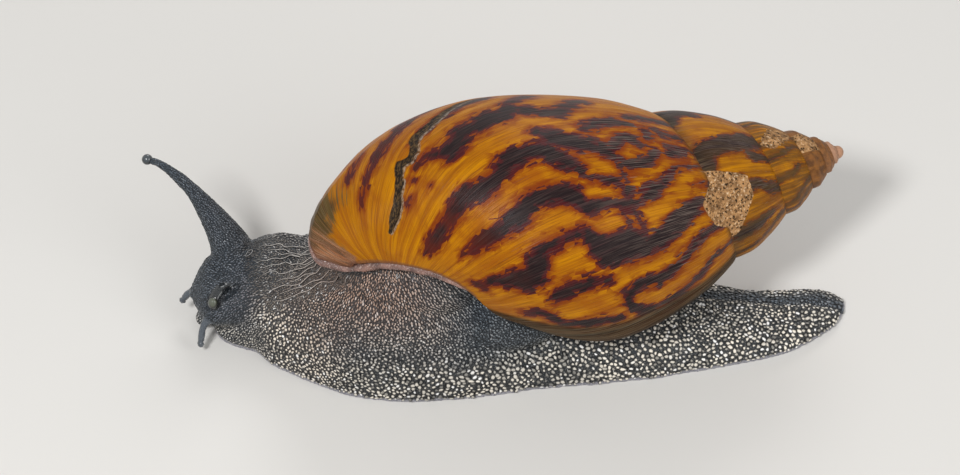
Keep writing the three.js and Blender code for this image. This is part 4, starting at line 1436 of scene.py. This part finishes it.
# many small domes in one mesh, each a ring of sides that rises over a shoulder to a top: the ring's cosine
# runs lengthways and its sine across; place is each root's spot on the unwrapped skin
def makeGranules(name, roots, normals, spacing, place):
    count, sides = len(roots), granuleSize["sides"]
    random = np.random.default_rng(len(name))
    here = regionsOf(roots)
    # they are longer by the shell's mouth, on the feeler, on the head and between the neck's lines
    stretch = 1 + 0.75 * here["collar"] + 0.3 * here["feeler"] + 0.3 * here["head"] + 0.5 * here["lined"]
    stretch = stretch + random.uniform(0, 0.5, count) * (1 - here["collar"])
    # they lie along the fan, or along the feeler, and less neatly elsewhere
    astray = 0.55 * (1 - here["collar"]) * (1 - 0.8 * here["head"])
    loose = random.normal(0, 1, (count, 3)) * astray[:, None]
    alongFeeler = np.array(granuleSize["feelerWay"]) * (here["feeler"] > 0.1)[:, None] * 2
    lengthways = fanDirection(roots) + loose + alongFeeler
    across = unit(np.cross(normals, lengthways))
    lengthways = np.cross(across, normals)
    size = spacing * random.uniform(0.74, 1.2, count)
    radius = size * granuleSize["reach"]
    height = size * granuleSize["height"] * random.uniform(0.75, 1.15, count)
    height = height * (1 - 0.35 * here["head"]) * (1 - 0.5 * here["lined"])
    turn = fullTurn * (np.arange(sides) / sides + random.uniform(0, 1, (count, 1)))
    uneven = random.uniform(0.68, 1.24, (count, sides))
    alongStep = (np.cos(turn) * uneven * (radius * stretch)[:, None])[..., None] * lengthways[:, None]
    acrossStep = (np.sin(turn) * uneven * (radius / stretch ** 0.4)[:, None])[..., None] * across[:, None]
    ring = alongStep + acrossStep
    share, rise = granuleSize["shoulder"]
    up = normals[:, None]
    base = roots[:, None] + ring - up * granuleSize["sunk"]
    shoulder = roots[:, None] + ring * share + up * (height * rise)[:, None, None]
    top = roots[:, None] + up * height[:, None, None]
    points = np.clip(np.concatenate([base, shoulder, top], 1), boxLow, boxHigh)
    side = np.arange(sides)
    after = (side + 1) % sides
    skirtA = np.stack([side, after, after + sides], -1)
    skirtB = np.stack([side, after + sides, side + sides], -1)
    cap = np.stack([side + sides, after + sides, side * 0 + 2 * sides], -1)
    one = np.concatenate([skirtA, skirtB, cap])
    per = 2 * sides + 1
    faces = (one[None] + (np.arange(count) * per)[:, None, None]).reshape(-1, 3)
    patch = granuleSize["patch"] / 2
    circle = np.stack([np.cos(turn), np.sin(turn)], -1) * patch
    bake = place[:, None] + np.concatenate([circle, circle * share, circle[:, :1] * 0], 1)
    values = {key: np.repeat(numbers, per) for key, numbers in fleshTint(roots).items()}
    values["random"] = np.repeat(random.uniform(0, 1, count), per)
    values["dome"] = np.tile(np.repeat([0.0, rise, 1.0], [sides, sides, 1]), count)
    return makeMesh(name, points, faces, values, {"OFBake": bake})


# the nearest places on the skin, with the way out of it
def ontoSkin(points):
    tree = BVHTree.FromObject(skin, bpy.context.evaluated_depsgraph_get())
    found = [tree.find_nearest(Vector(point)) for point in points.reshape(-1, 3) * mm]
    places = np.array([hit[0] for hit in found]) / mm
    normals = np.array([hit[1] for hit in found])
    return places.reshape(points.shape), normals.reshape(points.shape)


# thin pale ridges from the top of the head up to the shell's mouth: straight lines that a sine and noise
# make wavy, laid on the skin, with a low profile carried along each
def makeNeckLines():
    random = np.random.default_rng(8)
    share = np.linspace(0, 1, lineSize["steps"])[:, None]
    paths = []
    # long lines, and shorter ones between some of them
    for k in list(range(lineSize["count"])) + [1.5, 3.5, 5.5]:
        start, end = neckLine(k)
        whole = k == int(k)
        first = random.uniform(0, 0.22) if whole else random.uniform(0.2, 0.5)
        last = random.uniform(0.9, 1.05) if whole else first + random.uniform(0.25, 0.4)
        reach = first + (last - first) * share
        path = start + (end - start) * reach
        wave = np.sin(reach * random.uniform(20, 27) + random.uniform(0, fullTurn)) * lineSize["sway"]
        wave = wave + smoothNoise(reach * 5 + 7 * k, 1.0, 61)[:, None] * 0.8
        paths.append(path + np.concatenate([wave * 0.4, wave, wave * 0], 1))
    # and one small loop on the head
    turn = np.linspace(0, fullTurn, lineSize["steps"])[:, None]
    loop = np.concatenate([-69.2 + 1.6 * np.cos(turn), 9 + 0.75 * np.sin(turn), 23 + turn * 0], 1)
    paths.append(loop)
    places, normals = ontoSkin(np.array(paths))
    ahead = unit(np.gradient(places, axis=1))
    side = unit(np.cross(normals, ahead))
    taper = np.sin(np.linspace(0.08, math.pi - 0.08, lineSize["steps"])) ** 0.5
    taper = np.where(np.arange(len(paths))[:, None] == len(paths) - 1, 1, taper)[..., None, None]
    profile = np.array([[-1.4, -0.3], [-1, 0.35], [0, 1], [1, 0.35], [1.4, -0.3]])
    steps = (profile[:, :1] * lineSize["half"] * side[:, :, None]
             + profile[:, 1:] * lineSize["height"] * normals[:, :, None])
    points = places[:, :, None] + steps * taper
    rows, columns = lineSize["steps"], len(profile)
    faces = np.concatenate([gridFaces(rows, columns) + k * rows * columns for k in range(len(paths))])
    faces = faces if (np.cross(ahead, side) * normals).sum() < 0 else faces[:, ::-1]
    flat = points.reshape(-1, 3)
    values = fleshTint(flat)
    values["random"] = flat[:, 0] * 0 + 0.12
    values["dome"] = np.tile(profile[:, 1], len(paths) * rows)
    values["pale"] = np.clip(values["pale"] + 0.2, 0, 1)
    values["lined"] = flat[:, 0] * 0
    k, step, column = np.meshgrid(np.arange(len(paths)), np.linspace(0, 1, rows), np.arange(columns),
                                  indexing="ij")
    bake = np.stack([0.02 + 0.96 * step, 0.03 + 0.065 * k + 0.01 * column], -1)
    return makeMesh("neck_lines", flat, faces, values, {"OFBake": bake})


# places on the unwrapped skin: the share along the body, and the angle round it
def roundBody(points):
    x, y, z = points.T
    first, last = x.min(), x.max()
    angle = np.arctan2(z - 4, y - 2) / fullTurn
    return np.stack([0.02 + 0.96 * (x - first) / (last - first), 0.02 + 0.96 * np.mod(angle + 0.25, 1)], -1)


# the same for the long feeler, along its path and round that
def roundFeelerPath(points):
    path = throughRows(feelers["upperRight"]["path"], np.linspace(0, 1, 60))
    _, share = nearPath(points, path)
    away = points - throughRows(path, share)
    angle = np.arctan2(away[:, 1], away[:, 0] * 0.8 + away[:, 2] * 0.6) / fullTurn
    return np.stack([0.02 + 0.96 * share, 0.02 + 0.96 * np.mod(angle, 1)], -1)


# granules: dark grooves, dark sides and pale tops by the height up the dome, some paler than others
# the dark grooves and sides are partly their own colour and partly painted shade, the pale tops partly their
# own colour and partly painted highlight
def makeGranuleMaterial():
    material, tree, shader = newMaterial("flesh_granules")
    dome, random = reading(tree, "dome"), reading(tree, "random")
    tip = mixColour(tree, reading(tree, "pale"), rgb("757f88"), rgb("fff6e6"))
    tip = mixColour(tree, times(tree, reading(tree, "blue"), 0.8), tip, rgb("3c4a58"))
    tip = mixColour(tree, times(tree, reading(tree, "warm"), 0.8), tip, rgb("b38b74"))
    tip = mixColour(tree, ramp(tree, random, 0.6, 1.0, 0.0, 0.75), tip, rgb("262b30"))
    tip = mixColour(tree, times(tree, reading(tree, "lined"), 0.7), tip, rgb("4c443c"))
    # painted highlight: glints of pure white on the tops of some pale granules
    paintedGlint = times(tree, ramp(tree, random, 0.2, 0.0, 0.0, 0.9), reading(tree, "pale"))
    tip = mixColour(tree, paintedGlint, tip, rgb("ffffff"))
    side = mixColour(tree, 0.92, tip, rgb("0c0f12"))
    groove = mixColour(tree, reading(tree, "warm"), rgb("050709"), rgb("180f0a"))
    colour = mixColour(tree, ramp(tree, dome, 0.1, 0.66), groove, side)
    colour = mixColour(tree, ramp(tree, dome, 0.7, 0.84), colour, tip)
    # painted shade: the crease, the pit, the ring round the knob and the skin beside the shell and the mantle
    colour = mixColour(tree, reading(tree, "dark"), colour, rgb("0b0d0f"))
    grain = noiseAt(tree, ownPlace(tree), 2600, 2)
    finishWith(tree, shader, colour=colour, roughness=ramp(tree, random, 0, 1, 0.2, 0.45), level=0.2,
               coat=0.3, coatRoughness=0.06, normal=bumped(tree, grain, 0.00006, 0.5))
    return material


roots, rootNormals, rootSpacing = granuleRoots(skinMesh, skinPoints)
fromFeeler, feelerShare = nearPath(roots, feelers["upperRight"]["path"])
onFeeler = (fromFeeler < 12) & (feelerShare > 0.22) & (roots[:, 0] < -70)
onHead = (roots[:, 0] < -58) & ~onFeeler
onLeft = ~onHead & ~onFeeler & (roots[:, 1] < 1)
onRight = ~onHead & ~onFeeler & (roots[:, 1] >= 1)
granuleFinish = makeGranuleMaterial()
granulePieces = {"granules_feeler": onFeeler, "granules_head": onHead, "granules_left": onLeft,
                 "granules_right": onRight}
for name, chosen in granulePieces.items():
    unwrapped = roundFeelerPath if name == "granules_feeler" else roundBody
    place = unwrapped(roots[chosen])
    mesh = makeGranules(name, roots[chosen], rootNormals[chosen], rootSpacing[chosen], place)
    addPiece(name, mesh, granuleFinish)
    print(name, chosen.sum(), "granules,", len(mesh.polygons), "triangles")


addPiece("neck_lines", makeNeckLines(), granuleFinish)
print("neck lines made")


# eyes: the round bulb that ends the long feeler, and the knob of the drawn-in one

# a bead that knows how far each point faces the key lamp and the camera, for the painted light on it: 1
# straight on, -1 away from it
def makeEye(name, size):
    points = beadPoints(size["centre"], size["radii"], 40, 26)
    facing = (unit(points - size["centre"]) * unit(np.array(eyeSize["looks"]))).sum(-1)
    return makeMesh(name, points, outwardFaces(points, closed=True), {"facing": facing})


# wet and dark, with a paler middle where it faces the key lamp and the camera: painted light, whose edge the
# mottling blurs
def makeEyeMaterial(name, rim, middle):
    material, tree, shader = newMaterial(name)
    patches, grain = useMottle(tree, ownPlace(tree), 900, 3000)
    hold = ramp(tree, plus(tree, reading(tree, "facing"), times(tree, patches, 0.08)), 0.62, 0.98)
    colour = mixColour(tree, hold, rgb(rim), rgb(middle))
    finishWith(tree, shader, colour=colour, roughness=0.16, coat=0.6, coatRoughness=0.05,
               normal=bumped(tree, grain, 0.00005, 0.5))
    return material


addPiece("eye_right_bulb", makeEye("eye_right_bulb", eyeSize["right"]),
         makeEyeMaterial("eye_dark", "1c2228", "30383e"), ["eye_right"])
addPiece("eye_left_knob", makeEye("eye_left_knob", eyeSize["left"]),
         makeEyeMaterial("eye_veiled", "0d100b", "4c5142"), ["eye_left"])
print("eyes made")


# floor, lights and background, with lengths in metres

studio = {
    "floorReach": 6.0,
    "floorColour": "dcdad6",
    "aim": (0, 0, 0.03),
    # place, size and power
    "lamps": {
        "key": ((-0.35, -0.55, 0.85), 0.2, 6.4),
        "fill": ((0.65, -0.45, 0.55), 0.6, 2.6),
        "back": ((0.1, 0.8, 0.7), 0.5, 2.6),
    },
    "ambient": 0.36,         # light from all round; the background itself looks plain white
}


# one large square on the ground
def makeFloor():
    floorMesh = bpy.data.meshes.new("floor")
    corners = np.array([(-1, -1, 0), (1, -1, 0), (1, 1, 0), (-1, 1, 0)]) * studio["floorReach"]
    floorMesh.from_pydata(corners.tolist(), [], [(0, 1, 2, 3)])
    floor = newObject("floor", floorMesh)
    material, tree, shader = newMaterial("pale_floor")
    finishWith(tree, shader, colour=rgb(studio["floorColour"]), roughness=0.85)
    floorMesh.materials.append(material)


# a round lamp turned to shine from its place to the aim
def makeLamp(name, place, size, power):
    data = bpy.data.lights.new(name, "AREA")
    data.shape = "DISK"
    data.size = size
    data.energy = power
    lamp = newObject(name, data)
    lamp.location = place
    lamp.rotation_euler = (Vector(studio["aim"]) - Vector(place)).to_track_quat("-Z", "Y").to_euler()


# white where the camera, a mirror image or glass shows the background, dimmer where it only gives light
def makeWorld():
    world = bpy.data.worlds.new("studio")
    world.use_nodes = True
    scene.world = world
    tree = world.node_tree
    paths = put(tree, "LightPath")
    mirrored = larger(tree, paths.outputs["Is Glossy Ray"], paths.outputs["Is Transmission Ray"])
    shown = larger(tree, paths.outputs["Is Camera Ray"], mirrored)
    ambient = put(tree, "Background", {"Color": (1, 1, 1, 1), "Strength": studio["ambient"]})
    white = put(tree, "Background", {"Color": (1, 1, 1, 1), "Strength": 1.0})
    mixed = put(tree, "MixShader", {0: shown, 1: ambient.outputs[0], 2: white.outputs[0]})
    tree.links.new(mixed.outputs[0], tree.nodes["World Output"].inputs["Surface"])


makeFloor()
for name, (place, size, power) in studio["lamps"].items():
    makeLamp(name, place, size, power)
makeWorld()
scene.view_settings.view_transform = "Standard"
print("stage set")
